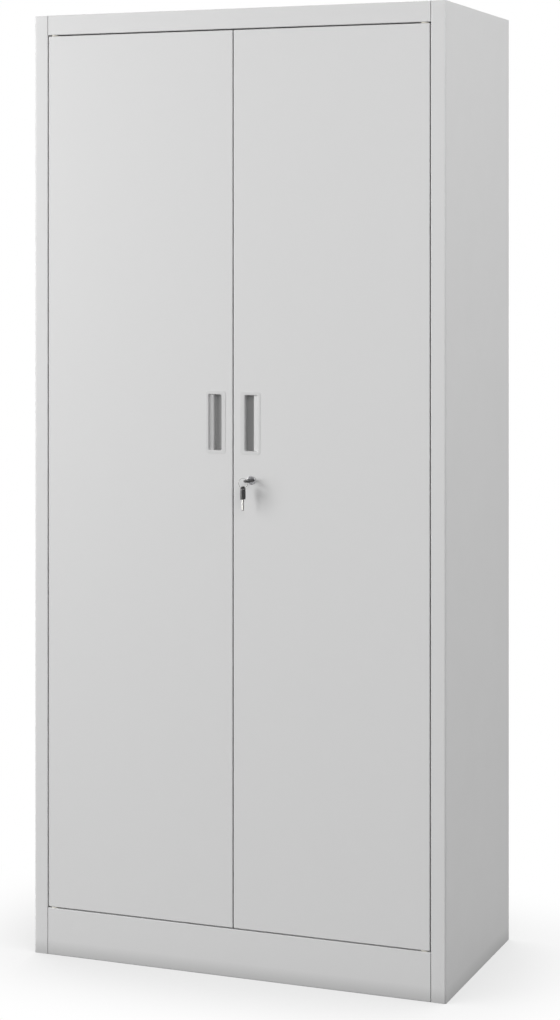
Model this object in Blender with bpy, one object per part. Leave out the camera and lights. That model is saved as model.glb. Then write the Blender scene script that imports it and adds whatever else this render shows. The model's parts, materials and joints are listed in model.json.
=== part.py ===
"""Two-door steel office cupboard: folded sheet carcass, four shelves, pivoted doors and a key-driven
three-point lock.

Metres, +Z up. X runs to the right, Y runs from the doors to the back, and the floor is Z = 0.
Each piece is modelled in the cupboard's own frame, whose Y = 0 is the front face of the doors, and is
then hung from an empty on the axis that it moves about.
"""
import math

import bmesh
import bpy
from mathutils import Matrix, Vector

# Cupboard
WIDTH = 0.900
DEPTH = 0.450
HEIGHT = 1.960
SHEET = 0.0008
FRONT_RADIUS = 0.004
FOLD_RADIUS = 0.002
SEAT_GAP = 0.0003
OVERRUN = 0.010
MERGE_DISTANCE = 0.000003

# Front frame
RAIL_HEIGHT = 0.041
PLINTH_HEIGHT = 0.0972
STILE_WIDTH = 0.0307
STILE_RETURN = 0.032
STILE_LIP = 0.015
REAR_FLANGE = 0.018
FLOOR_FLANGE = 0.022
RAIL_FLANGE = 0.014
RAIL_MARGIN = 0.004

# Doors
DOOR_GAP = 0.0025
DOOR_THICKNESS = 0.026
DOOR_LIP = 0.014
STIFFENER_WIDTH = 0.060
STIFFENER_FOOT = 0.016
STIFFENER_DRAFT = 0.006
BUFFER_RADIUS = 0.005
BUFFER_DROP = 0.012
BUFFER_STEM_RADIUS = 0.003
BUFFER_HEAD_RADIUS = 0.0042
BUFFER_HEAD_HEIGHT = 0.002
BUFFER_INSET = 0.120

# Door pivots
PIN_INSET = 0.012
PIN_DEPTH = 0.008
PIN_RADIUS = 0.004
PIN_REACH = 0.009
PIN_COLLAR_RADIUS = 0.0065
PIN_COLLAR_HEIGHT = 0.003
PIN_CHAMFER = 0.001
BUSH_WALL = 0.0018
BUSH_LENGTH = 0.004
BUSH_FLANGE_RADIUS = 0.0075

# Shelves and their uprights
UPRIGHT_WIDTH = 0.028
UPRIGHT_DEPTH = 0.014
UPRIGHT_SETBACK = 0.052
SLOT_PITCH = 0.050
SLOT_WIDTH = 0.012
SLOT_HEIGHT = 0.004
SLOT_MARGIN = 0.045
SHELF_COUNT = 4
SHELF_HEIGHT = 0.030
SHELF_LIP = 0.012
SHELF_SETBACK = 0.042
SHELF_PLAY = 0.0015
CLIP_THICKNESS = 0.0018
CLIP_LEDGE = 0.013
CLIP_LEG = 0.011
CLIP_HOOK = 0.003

# Handle cups
HANDLE_CENTRE = 0.0378
HANDLE_HEIGHT_UP = 1.1217
HANDLE_WIDTH = 0.0434
HANDLE_LENGTH = 0.1268
HANDLE_CORNER = 0.0055
HANDLE_PROUD = 0.001
HANDLE_SOFTNESS = 0.0006
HANDLE_DEPTH = 0.0165
HANDLE_WALL = 0.0022
POCKET_CENTRE = 0.03965
POCKET_WIDTH = 0.0277
POCKET_LENGTH = 0.1122
POCKET_CORNER = 0.0035
POCKET_ROLL = 0.0035
ROLL_STEPS = 3
REST_WIDTH = 0.0098
REST_DEPTH = 0.003
REST_FALL = 0.0012
WELL_DRAFT = 0.0015

# Lock
LOCK_CENTRE = 0.040
LOCK_DROP = 0.1147
BARREL_RADIUS = 0.0078
BARREL_RING_RADIUS = 0.0087
BARREL_PROUD = 0.0022
BARREL_RING_CHAMFER = 0.0008
BARREL_DEPTH = 0.0195
PLUG_RADIUS = 0.0055
PLUG_PLAY = 0.0003
SPINDLE_SIDE = 0.006
SPINDLE_DEPTH = 0.031
NUT_RADIUS = 0.0125
NUT_SIDES = 6
NUT_THICKNESS = 0.003
CASE_WEB = 0.0015
CASE_WALL = 0.0015
CASE_HEIGHT = 0.064
CAM_THICKNESS = 0.0024
CAM_LENGTH = 0.054
CAM_HUB_RADIUS = 0.009
CAM_TIP_RADIUS = 0.006

# Rack and pinion that drives the rods
TOOTH_COUNT = 8
RACK_SPARE_TEETH = 2
TOOTH_MODULE = 0.002
PRESSURE_ANGLE = math.radians(20)
PINION_ADDENDUM = 0.0010
RACK_ADDENDUM = 0.0009
TOOTH_BOTTOM_CLEARANCE = 0.0004
TOOTH_BACKLASH = 0.0008
FLANK_STEPS = 3
ROD_WIDTH = 0.010
ROD_THICKNESS = 0.003
ROD_DEPTH = 0.0205
ROD_PLAY = 0.0004
BOLT_SLOT_PLAY = 0.003
ROD_TIP_SETBACK = 0.001
ROD_GUIDE_LENGTH = 0.020
ROD_GUIDE_WALL = 0.005
ROD_GUIDE_BACK = 0.0015
ROD_GUIDE_SPACING = 0.450

# Keys
KEY_THICKNESS = 0.002
KEY_BLADE_WIDTH = 0.0056
KEY_INSERT = 0.0188
KEY_TANG_LENGTH = 0.010
KEY_BIT_DEPTH = 0.0009
KEY_BIT_COUNT = 4
KEY_TIP_CHAMFER = 0.0015
KEYWAY_PLAY = 0.0003
BOW_LENGTH = 0.026
BOW_WIDTH = 0.014
BOW_THICKNESS = 0.004
BOW_STANDOFF = 0.004
BOW_HOLE_RADIUS = 0.0032
BOW_HOLE_INSET = 0.0055
RING_RADIUS = 0.0095
RING_WIRE_RADIUS = 0.0007
RING_SIDE_SHIFT = 0.00825
RING_DROP = 0.004
SPARE_KEY_TURN = math.radians(9)
RING_PIVOT_SIDE_SHIFT = 0.00475
RING_PIVOT_DROP = 0.0005

# Arc fineness and shading
FOLD_STEPS = 2
FRONT_FOLD_STEPS = 4
ROUND_STEPS = 24
RING_STEPS = 28
WIRE_STEPS = 8
SMOOTH_ANGLE = math.radians(35)

# Places worked out from the sizes above
KEY_REACH = BOW_STANDOFF + BOW_LENGTH
FRONT_Y = -(DEPTH - KEY_REACH) / 2
INNER_X = WIDTH / 2 - SHEET - SEAT_GAP
OPENING_X = WIDTH / 2 - STILE_WIDTH
OPENING_BOTTOM = PLINTH_HEIGHT
OPENING_TOP = HEIGHT - RAIL_HEIGHT
DOOR_BOTTOM = OPENING_BOTTOM + DOOR_GAP
DOOR_TOP = OPENING_TOP - DOOR_GAP
DOOR_FREE_X = DOOR_GAP / 2
DOOR_HINGE_X = OPENING_X - DOOR_GAP
PIN_X = DOOR_HINGE_X - PIN_INSET
BACK_FACE = DEPTH - SHEET - SEAT_GAP
BUFFER_DEPTH = DOOR_THICKNESS + SEAT_GAP + BUFFER_RADIUS
RAIL_RETURN = BUFFER_DEPTH + BUFFER_RADIUS + RAIL_MARGIN
LOCK_HEIGHT_UP = HANDLE_HEIGHT_UP - LOCK_DROP
PIN_HOLE_RADIUS = PIN_RADIUS + SEAT_GAP
BUSH_RADIUS = PIN_HOLE_RADIUS + BUSH_WALL
BUSH_HOLE_RADIUS = BUSH_RADIUS + SEAT_GAP
PITCH_RADIUS = TOOTH_MODULE * TOOTH_COUNT / 2
ROD_INNER = PITCH_RADIUS + PINION_ADDENDUM + TOOTH_BOTTOM_CLEARANCE
ROD_CENTRE = ROD_INNER + ROD_WIDTH / 2

PLANES = {
    "XY": lambda a, b, c: (a, b, c),
    "YZ": lambda a, b, c: (c, a, b),
    "XZ": lambda a, b, c: (a, c, b),
}


def clear_scene():
    """Remove every object of the open scene."""
    for old in list(bpy.data.objects):
        bpy.data.objects.remove(old, do_unlink=True)


def material(name, colour, roughness, metallic=0.0):
    """A Principled material with one colour."""
    made = bpy.data.materials.new(name)
    made.use_nodes = True
    shader = made.node_tree.nodes["Principled BSDF"]
    shader.inputs["Base Color"].default_value = (*colour, 1.0)
    shader.inputs["Roughness"].default_value = roughness
    shader.inputs["Metallic"].default_value = metallic
    made.diffuse_color = (*colour, 1.0)
    return made


def empty(name, place, parent=None):
    """An empty at a place in the cupboard's frame, hung from another empty."""
    made = bpy.data.objects.new(name, None)
    bpy.context.scene.collection.objects.link(made)
    made["place"] = place
    made.parent = parent
    made.location = Vector(place) - Vector(parent["place"]) if parent else Vector(place)
    return made


def add(name, bm, finish, carrier, smooth=False):
    """A named object from a bmesh in the cupboard's frame, moved to its carrier's own frame."""
    bmesh.ops.recalc_face_normals(bm, faces=bm.faces)
    bm.transform(Matrix.Translation(-Vector(carrier["place"])))
    mesh = bpy.data.meshes.new(name)
    bm.to_mesh(mesh)
    bm.free()
    mesh.materials.append(finish)
    if smooth:
        mesh.shade_smooth()
        mesh.set_sharp_from_angle(angle=SMOOTH_ANGLE)
    made = bpy.data.objects.new(name, mesh)
    bpy.context.scene.collection.objects.link(made)
    made.parent = carrier
    return made


def arc(centre, radius, start, end, steps):
    """Points along an arc of a plane, both ends included."""
    turns = [start + (end - start) * i / steps for i in range(steps + 1)]
    return [(centre[0] + radius * math.cos(t), centre[1] + radius * math.sin(t)) for t in turns]


def prism(outline, plane, start, end):
    """A bmesh solid: a closed outline in one plane, drawn out from start to end across it."""
    place = PLANES[plane]
    bm = bmesh.new()
    kept = [p for i, p in enumerate(outline) if math.dist(p, outline[i - 1]) > MERGE_DISTANCE]
    face = bm.faces.new([bm.verts.new(place(a, b, start)) for a, b in kept])
    grown = bmesh.ops.extrude_face_region(bm, geom=[face])["geom"]
    moved = [v for v in grown if isinstance(v, bmesh.types.BMVert)]
    bmesh.ops.translate(bm, verts=moved, vec=place(0, 0, end - start))
    bmesh.ops.recalc_face_normals(bm, faces=bm.faces)
    return bm


def box(low, high):
    """A bmesh box between two corners."""
    outline = [(low[0], low[1]), (high[0], low[1]), (high[0], high[1]), (low[0], high[1])]
    return prism(outline, "XY", low[2], high[2])


def disc(plane, centre, radius, start, end, steps=ROUND_STEPS):
    """A bmesh cylinder across a plane."""
    return prism(arc(centre, radius, 0, 2 * math.pi, steps)[:-1], plane, start, end)


def turned(profile, plane, centre, steps=ROUND_STEPS):
    """A solid of revolution about the axis across a plane; the profile is (radius, distance) pairs
    whose first and last point lie on the axis, or a closed profile clear of it."""
    place = PLANES[plane]
    closed = profile[0][0] > 0
    bm = bmesh.new()
    verts = [bm.verts.new(place(centre[0] + r, centre[1], d)) for r, d in profile]
    edges = [bm.edges.new(pair) for pair in zip(verts, verts[1:])]
    if closed:
        edges.append(bm.edges.new((verts[-1], verts[0])))
    bmesh.ops.spin(bm, geom=verts + edges, cent=place(*centre, 0), axis=place(0, 0, 1),
                   angle=2 * math.pi, steps=steps, use_merge=True)
    bmesh.ops.remove_doubles(bm, verts=bm.verts, dist=MERGE_DISTANCE)
    bmesh.ops.recalc_face_normals(bm, faces=bm.faces)
    return bm


def combine(bm, tools, operation="DIFFERENCE"):
    """The body after a Boolean with each tool in turn."""
    made = []
    for shape in [bm, *tools]:
        mesh = bpy.data.meshes.new("tool")
        shape.to_mesh(mesh)
        shape.free()
        made.append(bpy.data.objects.new("tool", mesh))
        bpy.context.scene.collection.objects.link(made[-1])
    body, *cutters = made
    for cutter in cutters:
        step = body.modifiers.new("cut", "BOOLEAN")
        step.object = cutter
        step.operation = operation
        step.solver = "EXACT"
    result = bmesh.new()
    result.from_object(body, bpy.context.evaluated_depsgraph_get())
    for old in made:
        mesh = old.data
        bpy.data.objects.remove(old, do_unlink=True)
        bpy.data.meshes.remove(mesh)
    return result


def sheet_outline(points, sheet=SHEET, radii=None, steps=FOLD_STEPS):
    """The closed outline of a folded sheet.

    The points follow one face of the sheet and the material lies on their left. Each inner point is a
    fold, whose outer radius is FOLD_RADIUS unless radii gives another by its number.
    """
    radii = radii or {}
    near, far = [], []
    corners = [Vector(p) for p in points]
    for i, corner in enumerate(corners):
        before = (corner - corners[i - 1]).normalized() if i else None
        after = (corners[i + 1] - corner).normalized() if i + 1 < len(corners) else None
        if before is None or after is None:
            along = after or before
            near.append(tuple(corner))
            far.append(tuple(corner + Vector((-along.y, along.x)) * sheet))
            continue
        turn = math.atan2(before.x * after.y - before.y * after.x, before.dot(after))
        left = turn > 0
        outer = radii.get(i, FOLD_RADIUS)
        radius = outer if left else outer - sheet
        inset = radius * math.tan(abs(turn) / 2)
        side = 1 if left else -1
        across = Vector((-before.y, before.x)) * side
        centre = corner - before * inset + across * radius
        first = math.atan2(-across.y, -across.x)
        near += arc(centre, radius, first, first + turn, steps)
        far += arc(centre, radius - side * sheet, first, first + turn, steps)
    return near + far[::-1]


def folded(points, plane, start, end, sheet=SHEET, radii=None, steps=FOLD_STEPS):
    """A folded sheet drawn out from start to end."""
    return prism(sheet_outline(points, sheet, radii, steps), plane, start, end)


def pan(low, high, open_axis, open_side, lip, sheet=SHEET):
    """A sheet folded up on four sides round a rectangular face, with a lip turned in all round.

    The pan is open towards open_side (1 or -1) of open_axis, and the edges of its face are rounded.
    """
    bm = box(low, high)
    shut = [f for f in bm.faces if f.normal[open_axis] * open_side < -0.5][0]
    bmesh.ops.bevel(bm, geom=list(shut.edges), offset=FOLD_RADIUS, offset_type="OFFSET",
                    segments=FOLD_STEPS, profile=0.5, affect="EDGES", material=-1)
    open_face = [f for f in bm.faces if f.normal[open_axis] * open_side > 0.5][0]
    bmesh.ops.inset_region(bm, faces=[open_face], thickness=lip, use_even_offset=True)
    inward = Vector((0, 0, 0))
    inward[open_axis] = -open_side
    depth = high[open_axis] - low[open_axis]
    centre = (Vector(low) + Vector(high)) / 2
    size = Vector(high) - Vector(low)
    open_face = sink(bm, open_face, inward * sheet)
    open_face = sink(bm, open_face, Vector((0, 0, 0)))
    for vert in open_face.verts:
        for axis in range(3):
            if axis != open_axis:
                side = math.copysign(1, vert.co[axis] - centre[axis])
                vert.co[axis] = centre[axis] + side * (size[axis] / 2 - sheet)
    sink(bm, open_face, inward * (depth - 2 * sheet))
    return bm


def sink(bm, face, shift):
    """Extrude one face by a shift and give the new face."""
    grown = bmesh.ops.extrude_discrete_faces(bm, faces=[face])["faces"][0]
    bmesh.ops.translate(bm, verts=grown.verts, vec=shift)
    return grown


def rounded_rectangle(centre, width, height, radius, steps):
    """An outline with round corners, anticlockwise from the lower right."""
    reach_x, reach_y = width / 2 - radius, height / 2 - radius
    outline = []
    for turn, (side_x, side_y) in enumerate(((1, -1), (1, 1), (-1, 1), (-1, -1))):
        start = (turn - 1) * math.pi / 2
        middle = (centre[0] + side_x * reach_x, centre[1] + side_y * reach_y)
        outline += arc(middle, radius, start, start + math.pi / 2, steps)
    return outline


def mirrored(bm):
    """The same shape on the other side of the cupboard."""
    bmesh.ops.scale(bm, vec=(-1, 1, 1), verts=bm.verts)
    bmesh.ops.reverse_faces(bm, faces=bm.faces)
    return bm


def sided(bm, side):
    """The right-hand shape as it is, or mirrored for the left."""
    return bm if side > 0 else mirrored(bm)


def upright_web():
    """How far the face of the uprights' webs lies from the middle of the cupboard."""
    return INNER_X - UPRIGHT_DEPTH


def slot_levels():
    """Heights of the middles of the uprights' slots."""
    first = PLINTH_HEIGHT + SLOT_MARGIN
    count = int((HEIGHT - SLOT_MARGIN - first) / SLOT_PITCH) + 1
    return [first + i * SLOT_PITCH for i in range(count)]


def shelf_slots():
    """Heights of the slots that carry the shelves, spread evenly over the uprights."""
    levels = slot_levels()
    wanted = [
        OPENING_BOTTOM + (OPENING_TOP - OPENING_BOTTOM) * (i + 1) / (SHELF_COUNT + 1) - SHELF_HEIGHT
        for i in range(SHELF_COUNT)
    ]
    return [min(levels, key=lambda level: abs(level - height)) for height in wanted]


def side_panel(side):
    """Side wall, rounded front corner, stile and rear flange, folded from one sheet."""
    bm = folded(
        [
            (OPENING_X + STILE_LIP, STILE_RETURN),
            (OPENING_X, STILE_RETURN),
            (OPENING_X, 0),
            (WIDTH / 2, 0),
            (WIDTH / 2, DEPTH),
            (WIDTH / 2 - REAR_FLANGE, DEPTH),
        ],
        "XY", 0, HEIGHT, radii={3: FRONT_RADIUS}, steps=FRONT_FOLD_STEPS,
    )
    top_notch = box(
        (OPENING_X - OVERRUN, FRONT_RADIUS, HEIGHT - SHEET - SEAT_GAP),
        (INNER_X - SHEET, STILE_RETURN + OVERRUN, HEIGHT + OVERRUN),
    )
    return sided(combine(bm, [top_notch]), side)


def frame_holes(level):
    """Cutters through a panel at a level: the bush holes of both doors."""
    return [
        disc("XY", (side * PIN_X, PIN_DEPTH), BUSH_HOLE_RADIUS, level - OVERRUN / 2, level + OVERRUN / 2)
        for side in (-1, 1)
    ]


def rod_slot(direction, level, play=ROD_PLAY):
    """A cutter for a rod's passage: the upper rod for direction 1, the lower for -1."""
    centre = LOCK_CENTRE + direction * ROD_CENTRE
    reach = ROD_WIDTH / 2 + play
    return box(
        (centre - reach, ROD_DEPTH - play, level - OVERRUN / 2),
        (centre + reach, ROD_DEPTH + ROD_THICKNESS + play, level + OVERRUN / 2),
    )


def corner_cutters(inner, near, far, low, high):
    """A box at each side of the cupboard, from an inner distance out past its side wall."""
    outer = WIDTH / 2 + OVERRUN
    return [
        box((min(side * inner, side * outer), near, low), (max(side * inner, side * outer), far, high))
        for side in (-1, 1)
    ]


def rear_corner_cutters(low, high):
    """Cutters that keep a panel clear of the rear flanges of both side panels."""
    inner = WIDTH / 2 - REAR_FLANGE - SEAT_GAP
    near = DEPTH - FOLD_RADIUS - SEAT_GAP
    return corner_cutters(inner, near, DEPTH + OVERRUN, low, high)


def front_corner_cutters(depth, low, high):
    """Cutters that take a panel's front corners off to a depth, between two heights."""
    return corner_cutters(OPENING_X - SEAT_GAP, -OVERRUN, depth, low, high)


def top_panel():
    """Top plate, front rail, and its return over the doors with the pivot, bolt and buffer holes."""
    bm = folded(
        [
            (DEPTH, HEIGHT - REAR_FLANGE),
            (DEPTH, HEIGHT),
            (0, HEIGHT),
            (0, OPENING_TOP),
            (RAIL_RETURN, OPENING_TOP),
            (RAIL_RETURN, OPENING_TOP + RAIL_FLANGE),
        ],
        "YZ", -INNER_X, INNER_X,
    )
    below = OPENING_TOP - OVERRUN
    cutters = front_corner_cutters(FRONT_RADIUS + SEAT_GAP, below, HEIGHT + OVERRUN)
    cutters += front_corner_cutters(RAIL_RETURN + OVERRUN, below, OPENING_TOP + RAIL_FLANGE + FOLD_RADIUS)
    cutters += rear_corner_cutters(below, HEIGHT + OVERRUN)
    cutters += frame_holes(OPENING_TOP)
    cutters.append(rod_slot(1, OPENING_TOP, BOLT_SLOT_PLAY))
    cutters += [
        disc("XY", (side * BUFFER_INSET, BUFFER_DEPTH), BUFFER_STEM_RADIUS + SEAT_GAP,
             OPENING_TOP - FOLD_RADIUS, OPENING_TOP + FOLD_RADIUS)
        for side in (-1, 1)
    ]
    return combine(bm, cutters)


def bottom_panel():
    """Floor of the cupboard, plinth with its floor flange, and the flange inside the back sheet."""
    rear = BACK_FACE - SHEET - SEAT_GAP
    bm = folded(
        [
            (rear, PLINTH_HEIGHT - REAR_FLANGE),
            (rear, PLINTH_HEIGHT),
            (0, PLINTH_HEIGHT),
            (0, 0),
            (FLOOR_FLANGE, 0),
        ],
        "YZ", -INNER_X, INNER_X,
    )
    cutters = front_corner_cutters(STILE_RETURN + SEAT_GAP, -OVERRUN, PLINTH_HEIGHT + OVERRUN)
    cutters += frame_holes(PLINTH_HEIGHT)
    cutters.append(rod_slot(-1, PLINTH_HEIGHT, BOLT_SLOT_PLAY))
    return combine(bm, cutters)


def back_panel():
    """Flat back sheet, inside the rear flanges of the sides and top and behind the floor's."""
    reach = WIDTH / 2 - FOLD_RADIUS - SEAT_GAP
    return box(
        (-reach, BACK_FACE - SHEET, PLINTH_HEIGHT - REAR_FLANGE),
        (reach, BACK_FACE, HEIGHT - FOLD_RADIUS - SEAT_GAP),
    )


def upright_front(row):
    """Depth of the front edge of the uprights: row 0 at the front, 1 at the rear."""
    return UPRIGHT_SETBACK if row == 0 else DEPTH - UPRIGHT_SETBACK - UPRIGHT_WIDTH


def upright(side, row):
    """Slotted channel on the inside of a side wall."""
    near, far, web = upright_front(row), upright_front(row) + UPRIGHT_WIDTH, upright_web()
    bm = folded([(INNER_X, far), (web, far), (web, near), (INNER_X, near)], "XY",
                PLINTH_HEIGHT + SEAT_GAP, HEIGHT - SHEET - SEAT_GAP)
    middle = (near + far) / 2
    slots = [
        box((web - OVERRUN / 2, middle - SLOT_WIDTH / 2, level - SLOT_HEIGHT / 2),
            (web + OVERRUN / 2, middle + SLOT_WIDTH / 2, level + SLOT_HEIGHT / 2))
        for level in slot_levels()
    ]
    return sided(combine(bm, slots), side)


def shelf(level):
    """Folded shelf tray whose lower lips rest on the clips at one slot level."""
    under = level + CLIP_THICKNESS / 2 + SEAT_GAP
    reach = upright_web() - SHELF_PLAY
    return pan((-reach, SHELF_SETBACK, under),
               (reach, BACK_FACE - SHEET - SHELF_PLAY, under + SHELF_HEIGHT), 2, -1, SHELF_LIP)


def shelf_clip(side, row, level):
    """Bent clip hooked in a slot, with a ledge under the shelf."""
    web, half = upright_web(), CLIP_THICKNESS / 2
    behind = web + SHEET + SEAT_GAP
    bm = prism(
        [
            (web - CLIP_LEDGE, level - half),
            (web - SEAT_GAP - CLIP_THICKNESS, level - half),
            (web - SEAT_GAP - CLIP_THICKNESS, level - half - CLIP_LEG),
            (web - SEAT_GAP, level - half - CLIP_LEG),
            (web - SEAT_GAP, level - half),
            (behind + CLIP_THICKNESS, level - half),
            (behind + CLIP_THICKNESS, level + half + CLIP_HOOK),
            (behind, level + half + CLIP_HOOK),
            (behind, level + half),
            (web - CLIP_LEDGE, level + half),
        ],
        "XZ",
        upright_front(row) + (UPRIGHT_WIDTH - SLOT_WIDTH) / 2 + SEAT_GAP,
        upright_front(row) + (UPRIGHT_WIDTH + SLOT_WIDTH) / 2 - SEAT_GAP,
    )
    return sided(bm, side)


def bush(side, upper):
    """Flanged bush in the frame: its flange fills the gap between the frame and the door."""
    level, outward = (OPENING_TOP, 1) if upper else (OPENING_BOTTOM, -1)
    profile = [
        (PIN_HOLE_RADIUS, -DOOR_GAP + SEAT_GAP),
        (BUSH_FLANGE_RADIUS, -DOOR_GAP + SEAT_GAP),
        (BUSH_FLANGE_RADIUS, -SEAT_GAP),
        (BUSH_RADIUS, -SEAT_GAP),
        (BUSH_RADIUS, BUSH_LENGTH),
        (PIN_HOLE_RADIUS, BUSH_LENGTH),
    ]
    return turned([(r, level + outward * d) for r, d in profile], "XY", (side * PIN_X, PIN_DEPTH))


def pivot_pin(side, upper):
    """Collared pin in the end of a door, standing out into the bush."""
    level, outward = (DOOR_TOP, 1) if upper else (DOOR_BOTTOM, -1)
    shoulder = -SHEET - SEAT_GAP
    profile = [
        (0, shoulder - PIN_COLLAR_HEIGHT),
        (PIN_COLLAR_RADIUS, shoulder - PIN_COLLAR_HEIGHT),
        (PIN_COLLAR_RADIUS, shoulder),
        (PIN_RADIUS, shoulder),
        (PIN_RADIUS, PIN_REACH - PIN_CHAMFER),
        (PIN_RADIUS - PIN_CHAMFER, PIN_REACH),
        (0, PIN_REACH),
    ]
    return turned([(r, level + outward * d) for r, d in profile], "XY", (side * PIN_X, PIN_DEPTH))


def door_buffer(side):
    """Rubber stop behind a door's top edge, pushed into the rail's return by its headed stem."""
    seat = SHEET + SEAT_GAP
    profile = [
        (0, -BUFFER_DROP),
        (BUFFER_RADIUS, -BUFFER_DROP),
        (BUFFER_RADIUS, -SEAT_GAP),
        (BUFFER_STEM_RADIUS, -SEAT_GAP),
        (BUFFER_STEM_RADIUS, seat),
        (BUFFER_HEAD_RADIUS, seat),
        (BUFFER_STEM_RADIUS, seat + BUFFER_HEAD_HEIGHT),
        (0, seat + BUFFER_HEAD_HEIGHT),
    ]
    centre = (side * BUFFER_INSET, BUFFER_DEPTH)
    return turned([(r, OPENING_TOP + d) for r, d in profile], "XY", centre)


def handle_outline():
    """Outline of the right handle's flange in the plane of the door."""
    return rounded_rectangle((HANDLE_CENTRE, HANDLE_HEIGHT_UP), HANDLE_WIDTH, HANDLE_LENGTH, HANDLE_CORNER,
                             FRONT_FOLD_STEPS)


def pocket_outline(margin=0):
    """Outline of the right handle's pocket in the plane of the door, grown by a margin."""
    return rounded_rectangle((POCKET_CENTRE, HANDLE_HEIGHT_UP), POCKET_WIDTH + 2 * margin,
                             POCKET_LENGTH + 2 * margin, POCKET_CORNER + margin, FRONT_FOLD_STEPS)


def door_skin(side, locking):
    """Outer sheet of a door, folded on four sides, with its handle opening and pivot holes."""
    bm = pan((DOOR_FREE_X, 0, DOOR_BOTTOM), (DOOR_HINGE_X, DOOR_THICKNESS, DOOR_TOP), 1, 1, DOOR_LIP)
    cutters = [prism(pocket_outline(HANDLE_WALL + SEAT_GAP), "XZ", -OVERRUN, OVERRUN)]
    half_cut = OVERRUN / 2
    for level in (DOOR_BOTTOM, DOOR_TOP):
        cutters.append(disc("XY", (PIN_X, PIN_DEPTH), PIN_HOLE_RADIUS, level - half_cut, level + half_cut))
    if locking:
        lock = (LOCK_CENTRE, LOCK_HEIGHT_UP)
        cutters.append(disc("XZ", lock, BARREL_RADIUS + SEAT_GAP, -OVERRUN, OVERRUN))
        cutters += [rod_slot(1, DOOR_TOP), rod_slot(-1, DOOR_BOTTOM)]
    return sided(combine(bm, cutters), side)


def door_stiffener(side):
    """Hat section down the middle of a door, behind its skin."""
    middle = (DOOR_FREE_X + DOOR_HINGE_X) / 2
    half = STIFFENER_WIDTH / 2
    near = SHEET + SEAT_GAP
    crown = DOOR_THICKNESS - 2 * SHEET - SEAT_GAP
    bm = folded(
        [
            (middle - half - STIFFENER_FOOT, near),
            (middle - half, near),
            (middle - half + STIFFENER_DRAFT, crown),
            (middle + half - STIFFENER_DRAFT, crown),
            (middle + half, near),
            (middle + half + STIFFENER_FOOT, near),
        ],
        "XY", DOOR_BOTTOM + SHEET + SEAT_GAP, DOOR_TOP - SHEET - SEAT_GAP,
    )
    return sided(bm, side)


def pocket_mouth():
    """The room within the pocket's walls, which flares round a roll to the face of the flange."""
    bm = prism(pocket_outline(), "XZ", POCKET_ROLL - HANDLE_PROUD, HANDLE_DEPTH)
    face = min(bm.faces, key=lambda f: f.calc_center_median().y)
    centre = face.calc_center_median()
    near = wide = 0
    for i in range(1, ROLL_STEPS + 1):
        turn = math.pi / 2 * i / ROLL_STEPS
        face = sink(bm, face, Vector((0, near - POCKET_ROLL * math.sin(turn), 0)))
        for vert in face.verts:
            growth = POCKET_ROLL * (1 - math.cos(turn)) - wide
            vert.co.x += math.copysign(growth, vert.co.x - centre.x)
            vert.co.z += math.copysign(growth, vert.co.z - centre.z)
        near, wide = POCKET_ROLL * math.sin(turn), POCKET_ROLL * (1 - math.cos(turn))
    sink(bm, face, Vector((0, -OVERRUN, 0)))
    return bm


def handle_cup(side):
    """Recessed finger pull: a thin flange, a rolled mouth, and a well beside a shallow finger rest."""
    shell, flange = pocket_outline(HANDLE_WALL), handle_outline()
    bm = prism(shell, "XZ", -SEAT_GAP, HANDLE_DEPTH)
    front = min(bm.faces, key=lambda f: f.calc_center_median().y)
    front = sink(bm, front, Vector((0, 0, 0)))
    for vert in front.verts:
        own = min(range(len(shell)), key=lambda i: math.dist(shell[i], (vert.co.x, vert.co.z)))
        vert.co.x, vert.co.z = flange[own]
    front = sink(bm, front, Vector((0, SEAT_GAP - HANDLE_PROUD, 0)))
    bmesh.ops.bevel(bm, geom=list(front.edges), offset=HANDLE_SOFTNESS, offset_type="OFFSET",
                    segments=FOLD_STEPS, profile=0.5, affect="EDGES", material=-1)
    inner, outer = POCKET_CENTRE - POCKET_WIDTH / 2, POCKET_CENTRE + POCKET_WIDTH / 2
    brink = outer - REST_WIDTH
    floor = HANDLE_DEPTH - HANDLE_WALL
    section = [
        (inner - OVERRUN, -OVERRUN),
        (outer + OVERRUN, -OVERRUN),
        (outer + OVERRUN, REST_DEPTH),
        (outer, REST_DEPTH),
        (brink, REST_DEPTH + REST_FALL),
        (brink - WELL_DRAFT, floor),
        (inner - OVERRUN, floor),
    ]
    reach = HANDLE_LENGTH / 2
    depths = prism(section, "XY", HANDLE_HEIGHT_UP - reach, HANDLE_HEIGHT_UP + reach)
    pocket = combine(depths, [pocket_mouth()], "INTERSECT")
    return sided(combine(bm, [pocket]), side)


def lock_barrel():
    """Chromed lock housing with its ring on the face of the door."""
    bore = PLUG_RADIUS + PLUG_PLAY
    profile = [
        (bore, -BARREL_PROUD),
        (BARREL_RING_RADIUS - BARREL_RING_CHAMFER, -BARREL_PROUD),
        (BARREL_RING_RADIUS, -BARREL_PROUD + BARREL_RING_CHAMFER),
        (BARREL_RING_RADIUS, -SEAT_GAP),
        (BARREL_RADIUS, -SEAT_GAP),
        (BARREL_RADIUS, BARREL_DEPTH),
        (bore, BARREL_DEPTH),
    ]
    return turned(profile, "XZ", (LOCK_CENTRE, LOCK_HEIGHT_UP))


def lock_nut():
    """Hexagon nut that clamps the barrel to the skin."""
    near = SHEET + SEAT_GAP
    centre = (LOCK_CENTRE, LOCK_HEIGHT_UP)
    bm = disc("XZ", centre, NUT_RADIUS, near, near + NUT_THICKNESS, NUT_SIDES)
    return combine(bm, [disc("XZ", centre, BARREL_RADIUS + SEAT_GAP, -OVERRUN, near + OVERRUN)])


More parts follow.
